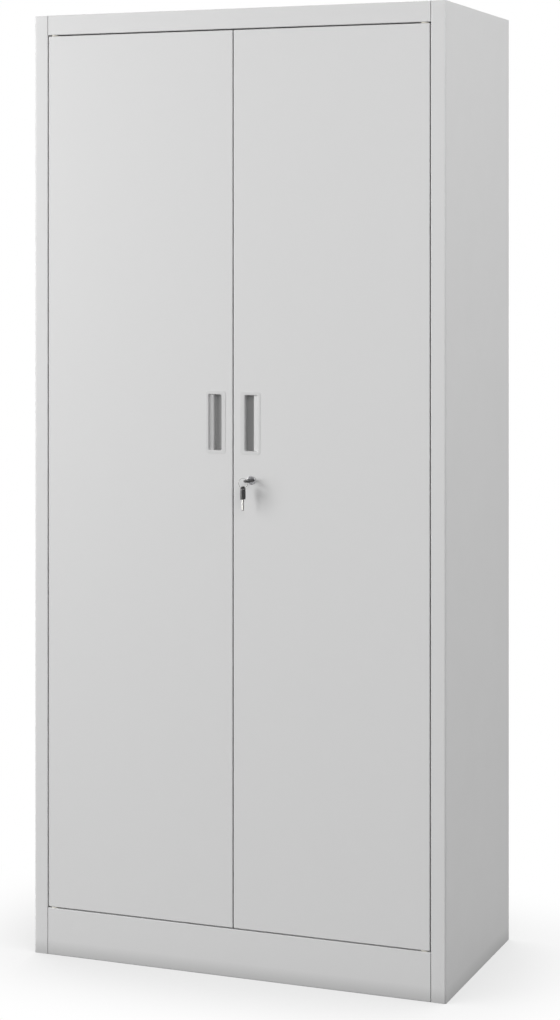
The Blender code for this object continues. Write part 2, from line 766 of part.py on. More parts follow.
def lock_case():
    """Die-cast lock case: two walls that guide the rods, and a web round the barrel."""
    inner = ROD_INNER + ROD_WIDTH + ROD_PLAY
    outer = inner + CASE_WALL
    near, far = SHEET + SEAT_GAP, ROD_DEPTH + ROD_THICKNESS
    web_far = ROD_DEPTH - ROD_PLAY
    web_near = web_far - CASE_WEB
    right = [(outer, near), (outer, far), (inner, far), (inner, web_far)]
    left = [(-x, y) for x, y in reversed(right)]
    under_left = [(-inner, near), (-inner, web_near)]
    under_right = [(inner, web_near), (inner, near)]
    outline = right + left + under_left + under_right
    bm = prism([(LOCK_CENTRE + x, y) for x, y in outline], "XY",
               LOCK_HEIGHT_UP - CASE_HEIGHT / 2, LOCK_HEIGHT_UP + CASE_HEIGHT / 2)
    hole = disc("XZ", (LOCK_CENTRE, LOCK_HEIGHT_UP), BARREL_RADIUS + SEAT_GAP,
                web_near - OVERRUN / 2, web_far + OVERRUN / 2)
    return combine(bm, [hole])


def lock_plug():
    """Turning plug with its keyway and the square spindle behind it."""
    centre = (LOCK_CENTRE, LOCK_HEIGHT_UP)
    half = SPINDLE_SIDE / 2
    bm = disc("XZ", centre, PLUG_RADIUS, -BARREL_PROUD, BARREL_DEPTH)
    spindle = box((LOCK_CENTRE - half, BARREL_DEPTH - PLUG_PLAY, LOCK_HEIGHT_UP - half),
                  (LOCK_CENTRE + half, SPINDLE_DEPTH, LOCK_HEIGHT_UP + half))
    reach = KEY_BLADE_WIDTH / 2 + KEYWAY_PLAY
    rise = KEY_THICKNESS / 2 + KEYWAY_PLAY
    keyway = box((LOCK_CENTRE - reach, -BARREL_PROUD - OVERRUN, LOCK_HEIGHT_UP - rise),
                 (LOCK_CENTRE + reach, KEY_INSERT + KEYWAY_PLAY, LOCK_HEIGHT_UP + rise))
    return combine(combine(bm, [spindle], "UNION"), [keyway])


def spindle_hole():
    """A cutter for a hole that the square spindle drives."""
    half = SPINDLE_SIDE / 2 + SEAT_GAP
    return box((LOCK_CENTRE - half, 0, LOCK_HEIGHT_UP - half),
               (LOCK_CENTRE + half, SPINDLE_DEPTH + OVERRUN, LOCK_HEIGHT_UP + half))


def tooth_half_width():
    """Half the width of a tooth on the pitch line, the same for pinion and racks."""
    return (math.pi * TOOTH_MODULE - TOOTH_BACKLASH) / 4


def pinion_outline():
    """Involute pinion outline, with a tooth centred on each side of the axis."""
    base = PITCH_RADIUS * math.cos(PRESSURE_ANGLE)
    tip = PITCH_RADIUS + PINION_ADDENDUM
    root = PITCH_RADIUS - RACK_ADDENDUM - TOOTH_BOTTOM_CLEARANCE
    at_pitch = tooth_half_width() / PITCH_RADIUS + math.tan(PRESSURE_ANGLE) - PRESSURE_ANGLE
    flank = [(root, at_pitch)]
    for i in range(FLANK_STEPS + 1):
        radius = base + (tip - base) * i / FLANK_STEPS
        pressure = math.acos(base / radius)
        flank.append((radius, at_pitch - (math.tan(pressure) - pressure)))
    outline = []
    for tooth in range(TOOTH_COUNT):
        middle = 2 * math.pi * tooth / TOOTH_COUNT
        sides = [(r, middle - a) for r, a in flank] + [(r, middle + a) for r, a in reversed(flank)]
        outline += [(LOCK_CENTRE + r * math.cos(a), LOCK_HEIGHT_UP + r * math.sin(a)) for r, a in sides]
    return outline


def lock_pinion():
    """Pinion on the spindle, between the two racks."""
    bm = prism(pinion_outline(), "XZ", ROD_DEPTH, ROD_DEPTH + ROD_THICKNESS)
    return combine(bm, [spindle_hole()])


def lock_cam():
    """Cam that turns behind the other door's edge; it points up while the lock is open."""
    length = CAM_LENGTH - CAM_TIP_RADIUS
    lean = math.acos((CAM_HUB_RADIUS - CAM_TIP_RADIUS) / length)
    first, last = math.pi / 2 - lean, math.pi / 2 + lean
    hub = arc((LOCK_CENTRE, LOCK_HEIGHT_UP), CAM_HUB_RADIUS, last, first + 2 * math.pi, ROUND_STEPS // 2)
    tip = arc((LOCK_CENTRE, LOCK_HEIGHT_UP + length), CAM_TIP_RADIUS, first, last, ROUND_STEPS // 4)
    near = DOOR_THICKNESS + ROD_PLAY
    return combine(prism(hub + tip, "XZ", near, near + CAM_THICKNESS), [spindle_hole()])


def lock_rod(direction):
    """Flat rod with rack teeth: the upper for direction 1, the lower for -1."""
    pitch = math.pi * TOOTH_MODULE
    rack_teeth = TOOTH_COUNT // 4 + RACK_SPARE_TEETH
    end = DOOR_TOP if direction > 0 else 2 * LOCK_HEIGHT_UP - DOOR_BOTTOM
    top = end - ROD_TIP_SETBACK - LOCK_HEIGHT_UP
    bottom = -rack_teeth * pitch
    outer = ROD_INNER + ROD_WIDTH
    outline = [(outer, bottom), (outer, top), (ROD_INNER, top)]
    at_root = tooth_half_width() + (ROD_INNER - PITCH_RADIUS) * math.tan(PRESSURE_ANGLE)
    at_tip = tooth_half_width() - RACK_ADDENDUM * math.tan(PRESSURE_ANGLE)
    tip = PITCH_RADIUS - RACK_ADDENDUM
    for tooth in range(rack_teeth):
        middle = pitch / 2 - tooth * pitch
        outline += [(ROD_INNER, middle + at_root), (tip, middle + at_tip),
                    (tip, middle - at_tip), (ROD_INNER, middle - at_root)]
    outline.append((ROD_INNER, bottom))
    placed = [(LOCK_CENTRE + direction * x, LOCK_HEIGHT_UP + direction * z) for x, z in outline]
    return prism(placed, "XZ", ROD_DEPTH, ROD_DEPTH + ROD_THICKNESS)


def rod_guide(direction):
    """Plastic block behind the skin that a rod slides through."""
    centre = LOCK_CENTRE + direction * ROD_CENTRE
    reach = ROD_WIDTH / 2 + ROD_GUIDE_WALL
    level = LOCK_HEIGHT_UP + direction * ROD_GUIDE_SPACING
    bm = box((centre - reach, SHEET + SEAT_GAP, level - ROD_GUIDE_LENGTH / 2),
             (centre + reach, ROD_DEPTH + ROD_THICKNESS + ROD_PLAY + ROD_GUIDE_BACK,
              level + ROD_GUIDE_LENGTH / 2))
    play = ROD_PLAY
    passage = box(
        (centre - ROD_WIDTH / 2 - play, ROD_DEPTH - play, level - ROD_GUIDE_LENGTH),
        (centre + ROD_WIDTH / 2 + play, ROD_DEPTH + ROD_THICKNESS + play, level + ROD_GUIDE_LENGTH),
    )
    return combine(bm, [passage])


def key_blade():
    """Flat key blade with its bits, in the key's own frame: Y = 0 is the shoulder of the bow."""
    half, length = KEY_BLADE_WIDTH / 2, BOW_STANDOFF + KEY_INSERT
    outline = [(-half, length - KEY_TIP_CHAMFER), (-half, -KEY_TANG_LENGTH), (half, -KEY_TANG_LENGTH)]
    pitch = (KEY_INSERT - 2 * KEY_TIP_CHAMFER) / KEY_BIT_COUNT
    for i in range(KEY_BIT_COUNT):
        start = BOW_STANDOFF + KEY_TIP_CHAMFER + i * pitch
        outline += [(half, start), (half - KEY_BIT_DEPTH, start + pitch / 2)]
    outline += [(half, length - KEY_TIP_CHAMFER), (half - KEY_TIP_CHAMFER, length),
                (-half + KEY_TIP_CHAMFER, length)]
    return prism(outline, "XY", -KEY_THICKNESS / 2, KEY_THICKNESS / 2)


def key_bow():
    """Moulded key bow with its ring hole and the pocket that holds the blade."""
    half = BOW_WIDTH / 2
    tip = arc((0, -BOW_LENGTH + half), half, math.pi, 2 * math.pi, ROUND_STEPS // 2)
    bm = prism([(half, 0), (-half, 0), *tip], "XY", -BOW_THICKNESS / 2, BOW_THICKNESS / 2)
    hole = disc("XY", (0, -BOW_LENGTH + BOW_HOLE_INSET), BOW_HOLE_RADIUS, -BOW_THICKNESS, BOW_THICKNESS)
    reach = KEY_BLADE_WIDTH / 2 + KEYWAY_PLAY
    rise = KEY_THICKNESS / 2 + KEYWAY_PLAY / 2
    pocket = box((-reach, -KEY_TANG_LENGTH - KEYWAY_PLAY, -rise), (reach, OVERRUN, rise))
    return combine(bm, [hole, pocket])


def ring_place():
    """Middle of the key ring, which hangs from the inserted key's bow."""
    hole = -BOW_STANDOFF - BOW_LENGTH + BOW_HOLE_INSET
    return (LOCK_CENTRE - RING_SIDE_SHIFT, hole, LOCK_HEIGHT_UP - RING_DROP)


def ring_pivot():
    """Point of the bow that the ring hangs round as the key turns."""
    _, depth, _ = ring_place()
    return (LOCK_CENTRE - RING_PIVOT_SIDE_SHIFT, depth, LOCK_HEIGHT_UP - RING_PIVOT_DROP)


def ring_bottom():
    """Middle of the ring's wire where the spare key hangs."""
    x, y, z = ring_place()
    return (x, y, z - RING_RADIUS)


def key_ring():
    """Wire ring through both keys."""
    x, y, z = ring_place()
    wire = arc((RING_RADIUS, y), RING_WIRE_RADIUS, 0, 2 * math.pi, WIRE_STEPS)[:-1]
    return turned(wire, "XZ", (x, z), RING_STEPS)


def inserted(bm):
    """A key piece moved from the key's own frame into the lock."""
    bm.transform(Matrix.Translation((LOCK_CENTRE, -BOW_STANDOFF, LOCK_HEIGHT_UP)))
    return bm


def hanging(bm):
    """A key piece moved from the key's own frame to hang from the bottom of the ring."""
    across = Vector((math.sin(SPARE_KEY_TURN), math.cos(SPARE_KEY_TURN), 0))
    down = Vector((0, 0, -1))
    turn = Matrix((across, down, across.cross(down))).transposed().to_4x4()
    slack = BOW_HOLE_RADIUS - RING_WIRE_RADIUS - SEAT_GAP
    hole = Vector(ring_bottom()) + down * slack
    own_hole = Vector((0, -BOW_LENGTH + BOW_HOLE_INSET, 0))
    bm.transform(Matrix.Translation(hole - turn @ own_hole) @ turn)
    return bm


def build():
    """Make every piece of the cupboard."""
    clear_scene()
    steel = material("powder_coated_steel", (0.62, 0.62, 0.61), 0.45)
    zinc = material("zinc_plated_steel", (0.55, 0.55, 0.54), 0.35, 0.9)
    chrome = material("chrome_plate", (0.72, 0.72, 0.73), 0.12, 1.0)
    cup_plastic = material("grey_plastic", (0.60, 0.60, 0.59), 0.5)
    bush_plastic = material("natural_nylon", (0.80, 0.79, 0.74), 0.5)
    black_plastic = material("black_plastic", (0.02, 0.02, 0.02), 0.5)
    rubber = material("black_rubber", (0.03, 0.03, 0.03), 0.8)

    cupboard = empty("cupboard", (0, 0, 0))
    cupboard.location.y = FRONT_Y
    add("top_panel", top_panel(), steel, cupboard)
    add("bottom_panel", bottom_panel(), steel, cupboard)
    add("back_panel", back_panel(), steel, cupboard)
    shelf_levels = shelf_slots()
    for number, level in enumerate(shelf_levels, 1):
        add(f"shelf_{number}", shelf(level), steel, cupboard)

    for hand, side in (("left", -1), ("right", 1)):
        add(f"{hand}_side_panel", side_panel(side), steel, cupboard)
        for row, row_name in enumerate(("front", "rear")):
            add(f"{hand}_{row_name}_upright", upright(side, row), steel, cupboard)
            for number, level in enumerate(shelf_levels, 1):
                clip = shelf_clip(side, row, level)
                add(f"shelf_{number}_clip_{hand}_{row_name}", clip, zinc, cupboard)
        add(f"{hand}_top_bush", bush(side, True), bush_plastic, cupboard, smooth=True)
        add(f"{hand}_bottom_bush", bush(side, False), bush_plastic, cupboard, smooth=True)
        add(f"{hand}_door_buffer", door_buffer(side), rubber, cupboard, smooth=True)

        hinge = empty(f"{hand}_hinge", (side * PIN_X, PIN_DEPTH, 0), cupboard)
        add(f"{hand}_door_skin", door_skin(side, side > 0), steel, hinge)
        add(f"{hand}_door_stiffener", door_stiffener(side), steel, hinge)
        add(f"{hand}_handle_cup", handle_cup(side), cup_plastic, hinge, smooth=True)
        add(f"{hand}_top_pivot", pivot_pin(side, True), zinc, hinge, smooth=True)
        add(f"{hand}_bottom_pivot", pivot_pin(side, False), zinc, hinge, smooth=True)

    add("lock_barrel", lock_barrel(), chrome, hinge, smooth=True)
    add("lock_nut", lock_nut(), zinc, hinge)
    add("lock_case", lock_case(), zinc, hinge)
    add("upper_rod_guide", rod_guide(1), bush_plastic, hinge)
    add("lower_rod_guide", rod_guide(-1), bush_plastic, hinge)
    axis = empty("lock_axis", (LOCK_CENTRE, 0, LOCK_HEIGHT_UP), hinge)
    add("lock_plug", lock_plug(), chrome, axis, smooth=True)
    add("lock_pinion", lock_pinion(), zinc, axis)
    add("lock_cam", lock_cam(), zinc, axis)
    for name, direction in (("upper_lock_rod", 1), ("lower_lock_rod", -1)):
        place = (LOCK_CENTRE + direction * ROD_CENTRE, ROD_DEPTH, LOCK_HEIGHT_UP)
        add(name, lock_rod(direction), zinc, empty(f"{name}_slide", place, hinge))
    add("key_blade", inserted(key_blade()), zinc, axis)
    add("key_bow", inserted(key_bow()), black_plastic, axis)
    ring_axis = empty("ring_axis", ring_pivot(), axis)
    add("key_ring", key_ring(), zinc, ring_axis, smooth=True)
    spare_axis = empty("spare_key_axis", ring_bottom(), ring_axis)
    add("spare_key_blade", hanging(key_blade()), zinc, spare_axis)
    add("spare_key_bow", hanging(key_bow()), black_plastic, spare_axis)


build()
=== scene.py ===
"""Looks of a two-door steel office cupboard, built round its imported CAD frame.

The sheet metal, handle cups and split ring are modelled again, with finer folds and soft edges. The lock,
the keys and the other small parts keep their CAD shape and get broken edges. Each piece takes the place
of the CAD node that it stands for and gets a procedural finish. Lengths are in metres in the frame's own
axes: +X to the right, +Y from the doors to the back, +Z up.
"""
from __future__ import annotations

import json
import logging
import math
from dataclasses import dataclass, field
from enum import Enum
from typing import Any, Iterable, Sequence

import bmesh
import bpy
from mathutils import Matrix, Vector


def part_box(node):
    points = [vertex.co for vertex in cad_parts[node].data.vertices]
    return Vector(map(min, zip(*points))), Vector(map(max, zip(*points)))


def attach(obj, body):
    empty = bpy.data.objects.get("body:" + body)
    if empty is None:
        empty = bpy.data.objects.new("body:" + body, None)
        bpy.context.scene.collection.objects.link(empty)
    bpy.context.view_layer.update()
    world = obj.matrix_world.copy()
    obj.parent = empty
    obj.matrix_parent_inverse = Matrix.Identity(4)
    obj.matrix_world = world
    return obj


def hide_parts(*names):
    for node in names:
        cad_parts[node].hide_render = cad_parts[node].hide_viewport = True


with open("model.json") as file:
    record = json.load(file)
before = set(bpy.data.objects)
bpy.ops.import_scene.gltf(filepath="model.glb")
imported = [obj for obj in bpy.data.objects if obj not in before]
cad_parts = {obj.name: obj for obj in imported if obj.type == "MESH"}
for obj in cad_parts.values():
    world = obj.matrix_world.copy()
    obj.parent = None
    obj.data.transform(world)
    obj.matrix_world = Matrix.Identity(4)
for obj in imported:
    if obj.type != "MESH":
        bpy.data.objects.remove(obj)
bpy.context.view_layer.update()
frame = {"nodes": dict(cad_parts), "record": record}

LOG = logging.getLogger("cupboard")

MM = 0.001
WELD = 0.003 * MM
COPLANAR = math.radians(0.5)
SHARP = math.radians(38)
FOLD_ANGLE = math.radians(60)
FACING = 0.5
ROUND_PROFILE = 0.5
OVERRUN = 10 * MM
ROD_WIDTH = 10 * MM
HANDS = {"left": -1, "right": 1}

# Numbers of the Mix node's colour sockets
MIX_FIRST, MIX_SECOND, MIX_RESULT = 6, 7, 2

Point = tuple[float, float]
BMesh = bmesh.types.BMesh
Tree = bpy.types.NodeTree
Socket = bpy.types.NodeSocket

# Each plane's own axes a and b, and the axis c across it, as the columns of a turn
PLANES = {
    "XY": Matrix.Identity(4),
    "YZ": Matrix(((0, 0, 1, 0), (1, 0, 0, 0), (0, 1, 0, 0), (0, 0, 0, 1))),
    "XZ": Matrix(((1, 0, 0, 0), (0, 0, 1, 0), (0, 1, 0, 0), (0, 0, 0, 1))),
}


class Slot(Enum):
    """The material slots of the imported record."""

    POWDER_COAT = "powder_coat"
    HANDLE_PLASTIC = "handle_plastic"
    ZINC_PLATE = "zinc_plate"
    CHROME = "chrome"
    NICKEL = "nickel"
    NYLON = "nylon"
    KEY_PLASTIC = "key_plastic"
    RUBBER = "rubber"


def linear(code: str) -> tuple[float, float, float, float]:
    """Turn an sRGB hex colour to linear.

    Args:
        code: Six hex digits with a leading hash.

    Returns:
        Red, green, blue and alpha in linear light.
    """
    parts = [int(code[i : i + 2], 16) / 255 for i in (1, 3, 5)]
    return (*[p / 12.92 if p <= 0.04045 else ((p + 0.055) / 1.055) ** 2.4 for p in parts], 1.0)


WHITE = linear("#ffffff")


def add_node(tree: Tree, kind: str, settings: dict[Any, Any] | None = None,
             links: dict[Any, Socket] | None = None) -> bpy.types.Node:
    """Add a node to a tree with its settings and links.

    Args:
        tree: The tree that gets the node.
        kind: The node's type name.
        settings: Values by property name, or by input name or number.
        links: Output sockets of other nodes, by input name or number.

    Returns:
        The new node.
    """
    node = tree.nodes.new(kind)
    for name, value in (settings or {}).items():
        if isinstance(name, str) and hasattr(node, name):
            setattr(node, name, value)
        else:
            node.inputs[name].default_value = value
    for name, socket in (links or {}).items():
        tree.links.new(socket, node.inputs[name])
    return node


@dataclass(frozen=True)
class Finish:
    """A real material, with the fine relief and the drift of colour and gloss that its making leaves.

    Attributes:
        slot: The record's slot that the finish is meant for; not used.
        label: The material's name in the file.
        colour: Its sRGB hex colour.
        drift: The sRGB hex colour that it strays to in soft patches.
        gloss: Lowest and highest roughness.
        metallic: 1 for plated metal.
        grain: Width of one bump of the relief.
        relief: Height of the relief.
        patch: Width of a patch of the drift.
        stretch: Scale of the relief along each axis, for drawn and rolled surfaces.
        patch_detail: Octaves of the drift's noise.
        grain_detail: Octaves of the relief's noise.
    """

    slot: Slot
    label: str
    colour: str
    drift: str
    gloss: tuple[float, float]
    metallic: float
    grain: float
    relief: float
    patch: float
    stretch: tuple[float, float, float] = (1.0, 1.0, 1.0)
    patch_detail: float = 3.0
    grain_detail: float = 2.0

    def tint(self, tree: Tree, place: Socket, patches: Socket) -> Socket:
        """The colour with its drift.

        Args:
            tree: The tree that gets the nodes.
            place: The place on the object; not used here.
            patches: The noise of the drift.

        Returns:
            The colour's socket.
        """
        return add_node(tree, "ShaderNodeMix",
                        {"data_type": "RGBA", MIX_FIRST: linear(self.colour),
                         MIX_SECOND: linear(self.drift)},
                        {0: patches}).outputs[MIX_RESULT]

    def material(self) -> bpy.types.Material:
        """Build the node material.

        Returns:
            The material.
        """
        made = bpy.data.materials.new(self.label)
        made.use_nodes = True
        made.diffuse_color = linear(self.colour)
        tree = made.node_tree
        shader = tree.nodes["Principled BSDF"]
        shader.inputs["Metallic"].default_value = self.metallic
        place = add_node(tree, "ShaderNodeTexCoord").outputs["Object"]
        drawn = add_node(tree, "ShaderNodeMapping", {"Scale": self.stretch}, {"Vector": place})
        patches = add_node(tree, "ShaderNodeTexNoise",
                           {"Scale": 1 / self.patch, "Detail": self.patch_detail},
                           {"Vector": place}).outputs["Fac"]
        grain = add_node(tree, "ShaderNodeTexNoise",
                         {"Scale": 1 / self.grain, "Detail": self.grain_detail},
                         {"Vector": drawn.outputs["Vector"]})
        rough = add_node(tree, "ShaderNodeMapRange", {"To Min": self.gloss[0], "To Max": self.gloss[1]},
                         {"Value": patches})
        bumps = add_node(tree, "ShaderNodeBump", {"Distance": self.relief},
                         {"Height": grain.outputs["Fac"]})
        for name, socket in (("Base Color", self.tint(tree, place, patches)),
                             ("Roughness", rough.outputs["Result"]),
                             ("Normal", bumps.outputs["Normal"])):
            tree.links.new(socket, shader.inputs[name])
        return made


@dataclass(frozen=True)
class RecessShadedFinish(Finish):
    """A finish with painted shade: its colour darkens as it goes deeper behind the doors' front.

    Attributes:
        recess_shade: The sRGB hex colour of the painted shade at its deepest parts.
        reach: Depth at which the painted shade is complete.
        room: Name of the CAD node whose inside gets the painted shade.
        skin: Distances from the node's back between which the unshaded colour turns to the painted shade.
    """

    recess_shade: str = "#808080"
    reach: float = 12 * MM
    room: str = "right_handle_cup"
    skin: tuple[float, float] = (0.6 * MM, 1.6 * MM)

    def tint(self, tree: Tree, place: Socket, patches: Socket) -> Socket:
        """The colour with its drift, darkened with the depth by painted shade.

        Args:
            tree: The tree that gets the nodes.
            place: The place on the object.
            patches: The noise of the drift.

        Returns:
            The colour's socket.
        """
        unshaded = super().tint(tree, place, patches)
        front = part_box("right_door_skin")[0].y
        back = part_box(self.room)[1].y
        depth = add_node(tree, "ShaderNodeSeparateXYZ", {}, {0: place}).outputs["Y"]
        spans = ((front, front + self.reach), (back - self.skin[0], back - self.skin[1]))
        deep, inside = (add_node(tree, "ShaderNodeMapRange", {"From Min": start, "From Max": end},
                                 {"Value": depth}).outputs["Result"] for start, end in spans)
        # painted shade: the colour darkens deeper in the pocket, but not on the shell's back
        shade_weight = add_node(tree, "ShaderNodeMath", {"operation": "MINIMUM"}, {0: deep, 1: inside})
        return add_node(tree, "ShaderNodeMix", {"data_type": "RGBA", MIX_SECOND: linear(self.recess_shade)},
                        {0: shade_weight.outputs[0], MIX_FIRST: unshaded}).outputs[MIX_RESULT]


@dataclass(frozen=True)
class FootShadedFinish(Finish):
    """A finish with painted shade that darkens it towards the floor.

    Attributes:
        foot_shade: The sRGB hex colour of the painted shade at the floor.
        rise: Height above the floor at which the unshaded colour begins.
    """

    foot_shade: str = "#808080"
    rise: float = 30 * MM

    def tint(self, tree: Tree, place: Socket, patches: Socket) -> Socket:
        """The colour with its drift, darkened towards the floor by painted shade.

        Args:
            tree: The tree that gets the nodes.
            place: The place on the object.
            patches: The noise of the drift.

        Returns:
            The colour's socket.
        """
        unshaded = super().tint(tree, place, patches)
        height = add_node(tree, "ShaderNodeSeparateXYZ", {}, {0: place}).outputs["Z"]
        # painted shade: darker in the lowest part, down to the floor
        low = add_node(tree, "ShaderNodeMapRange", {"From Min": self.rise, "From Max": 0.0},
                       {"Value": height})
        return add_node(tree, "ShaderNodeMix", {"data_type": "RGBA", MIX_SECOND: linear(self.foot_shade)},
                        {0: low.outputs["Result"], MIX_FIRST: unshaded}).outputs[MIX_RESULT]


# Polyester powder coat, sprayed and baked: satin, with a fine orange peel about 1.5 mm across. Its lowest
# 30 mm are darkened towards the floor as painted shade
POWDER_COAT = FootShadedFinish(
    Slot.POWDER_COAT, "powder_coat_light_grey", colour="#d7d7d7", drift="#d5d5d5", gloss=(0.30, 0.36),
    metallic=0.0, grain=1.5 * MM, relief=0.010 * MM, patch=60 * MM, foot_shade="#bebebe",
)
# Moulded ABS, matched to the coat: spark-eroded mould texture, finer than the paint's. Its colour is
# darkened deep in the pocket as painted shade
CUP_PLASTIC = RecessShadedFinish(
    Slot.HANDLE_PLASTIC, "moulded_abs_light_grey", colour="#d1d1d1", drift="#cfcfcf", gloss=(0.26, 0.32),
    metallic=0.0, grain=0.5 * MM, relief=0.008 * MM, patch=12 * MM, recess_shade="#a2a2a2",
)
# Bright zinc plating on cold-rolled steel: soft patches of haze and faint rolling lines
ZINC_PLATE = Finish(
    Slot.ZINC_PLATE, "bright_zinc_plate", colour="#c9cbcd", drift="#b4b7bb", gloss=(0.26, 0.42),
    metallic=1.0, grain=0.8 * MM, relief=0.006 * MM, patch=9 * MM, stretch=(1.0, 1.0, 0.08),
)
# Chromium plate on a turned barrel: nearly a mirror
CHROME_PLATE = Finish(
    Slot.CHROME, "chromium_plate", colour="#a2a2a4", drift="#98989b", gloss=(0.12, 0.20),
    metallic=1.0, grain=0.6 * MM, relief=0.001 * MM, patch=5 * MM,
)
# Nickel plate on stamped key blades and spring wire: worn to a soft grey
NICKEL_PLATE = Finish(
    Slot.NICKEL, "nickel_plate", colour="#a3a29f", drift="#949390", gloss=(0.20, 0.30),
    metallic=1.0, grain=0.5 * MM, relief=0.003 * MM, patch=4 * MM,
)
# Natural polyamide mouldings: milky and waxy
NYLON = Finish(
    Slot.NYLON, "natural_polyamide", colour="#e2dfd4", drift="#dad6c9", gloss=(0.38, 0.48),
    metallic=0.0, grain=0.7 * MM, relief=0.006 * MM, patch=6 * MM,
)
# Black moulded plastic of the key bows: fine mould texture and a satin sheen
KEY_PLASTIC = Finish(
    Slot.KEY_PLASTIC, "moulded_plastic_black", colour="#1b1b1c", drift="#232324", gloss=(0.28, 0.38),
    metallic=0.0, grain=0.4 * MM, relief=0.006 * MM, patch=4 * MM,
)
# Moulded rubber stops: dull, slightly dusty black
RUBBER = Finish(
    Slot.RUBBER, "black_rubber", colour="#222222", drift="#2c2c2b", gloss=(0.66, 0.80),
    metallic=0.0, grain=0.6 * MM, relief=0.010 * MM, patch=5 * MM,
)


def basis(plane: str, bm: BMesh) -> BMesh:
    """Turn a mesh from a plane's own axes to the frame's.

    Args:
        plane: Name of the plane.
        bm: The mesh in the plane's axes.

    Returns:
        The same mesh, its faces pointing outwards.
    """
    bmesh.ops.transform(bm, matrix=PLANES[plane], verts=bm.verts)
    bmesh.ops.recalc_face_normals(bm, faces=bm.faces)
    return bm


def bevel(bm: BMesh, edges: Iterable[bmesh.types.BMEdge], radius: float, segments: int) -> None:
    """Round some edges.

    Args:
        bm: The mesh.
        edges: The edges to round.
        radius: Radius of the round.
        segments: How many faces make it.
    """
    bmesh.ops.bevel(bm, geom=list(edges), offset=radius, offset_type="OFFSET", segments=segments,
                    profile=ROUND_PROFILE, affect="EDGES", material=-1)


def block(low: Sequence[float], high: Sequence[float]) -> BMesh:
    """A box between two corners.

    Args:
        low: The lowest corner.
        high: The highest corner.

    Returns:
        The mesh.
    """
    bm = bmesh.new()
    bmesh.ops.create_cube(bm, size=1)
    bmesh.ops.scale(bm, vec=Vector(high) - Vector(low), verts=bm.verts)
    bmesh.ops.translate(bm, vec=(Vector(low) + Vector(high)) / 2, verts=bm.verts)
    return bm


def rounded_block(low: Sequence[float], high: Sequence[float], axis: int, radius: float,
                  segments: int = 8) -> BMesh:
    """A box whose four edges along one axis are rounded.

    Args:
        low: The lowest corner.
        high: The highest corner.
        axis: Number of the axis.
        radius: Radius of the corners.
        segments: How many faces make a corner.

    Returns:
        The mesh.
    """
    bm = block(low, high)
    bevel(bm, [e for e in bm.edges if abs((e.verts[0].co - e.verts[1].co)[axis]) > WELD], radius, segments)
    return bm


def drum(plane: str, centre: Point, radius: float, start: float, end: float, segments: int = 48) -> BMesh:
    """A cylinder across a plane.

    Args:
        plane: Name of the plane.
        centre: Its middle in the plane.
        radius: Its radius.
        start: Where it starts across the plane.
        end: Where it ends.
        segments: Number of its sides.

    Returns:
        The mesh.
    """
    bm = bmesh.new()
    bmesh.ops.create_cone(bm, cap_ends=True, segments=segments, radius1=radius, radius2=radius,
                          depth=end - start)
    bmesh.ops.translate(bm, vec=(*centre, (start + end) / 2), verts=bm.verts)
    return basis(plane, bm)


def drawn_out(outline: Sequence[Point], plane: str, start: float, end: float) -> BMesh:
    """A closed outline in a plane, drawn out across it.

    Args:
        outline: Its few corners.
        plane: Name of the plane.
        start: Where it starts across the plane.
        end: Where it ends.

    Returns:
        The mesh.
    """
    bm = bmesh.new()
    face = bm.faces.new([bm.verts.new((a, b, start)) for a, b in outline])
    grown = bmesh.ops.extrude_face_region(bm, geom=[face])["geom"]
    moved = [v for v in grown if isinstance(v, bmesh.types.BMVert)]
    bmesh.ops.translate(bm, verts=moved, vec=(0, 0, end - start))
    return basis(plane, bm)


def stored(name: str, bm: BMesh) -> bpy.types.Mesh:
    """Store a mesh in the file.

    Args:
        name: Name of the stored mesh.
        bm: The mesh, which is used up.

    Returns:
        The stored mesh.
    """
    mesh = bpy.data.meshes.new(name)
    bm.to_mesh(mesh)
    bm.free()
    return mesh


def placed(name: str, data: bpy.types.ID) -> bpy.types.Object:
    """Put stored data in the scene as an object.

    Args:
        name: Name of the object.
        data: Its mesh, lamp or camera.

    Returns:
        The object.
    """
    made = bpy.data.objects.new(name, data)
    bpy.context.scene.collection.objects.link(made)
    return made


def join(tools: Iterable[BMesh]) -> BMesh:
    """Put several meshes together in one.

    Args:
        tools: The meshes, which are used up.

    Returns:
        The mesh of all of them.
    """
    whole = bmesh.new()
    for tool in tools:
        mesh = stored("joined", tool)
        whole.from_mesh(mesh)
        bpy.data.meshes.remove(mesh)
    return whole


def cut(bm: BMesh, tools: Iterable[BMesh], operation: str = "DIFFERENCE") -> BMesh:
    """Apply a Boolean.

    Args:
        bm: The body, which is used up.
        tools: The tools, clear of each other, which are used up.
        operation: The Boolean's kind.

    Returns:
        The result.
    """
    body, tool = (placed("stock", stored("stock", shape)) for shape in (bm, join(tools)))
    step = body.modifiers.new("cut", "BOOLEAN")
    step.object = tool
    step.operation = operation
    step.solver = "EXACT"
    result = bmesh.new()
    result.from_object(body, bpy.context.evaluated_depsgraph_get())
    for old in (body, tool):
        mesh = old.data
        bpy.data.objects.remove(old, do_unlink=True)
        bpy.data.meshes.remove(mesh)
    return result


def mirrored(bm: BMesh, side: int) -> BMesh:
    """The right-hand mesh as it is, or mirrored for the left.

    Args:
        bm: The right-hand mesh.
        side: 1 for the right and -1 for the left.

    Returns:
        The same mesh.
    """
    if side < 0:
        bmesh.ops.scale(bm, vec=(-1, 1, 1), verts=bm.verts)
        bmesh.ops.recalc_face_normals(bm, faces=bm.faces)
    return bm


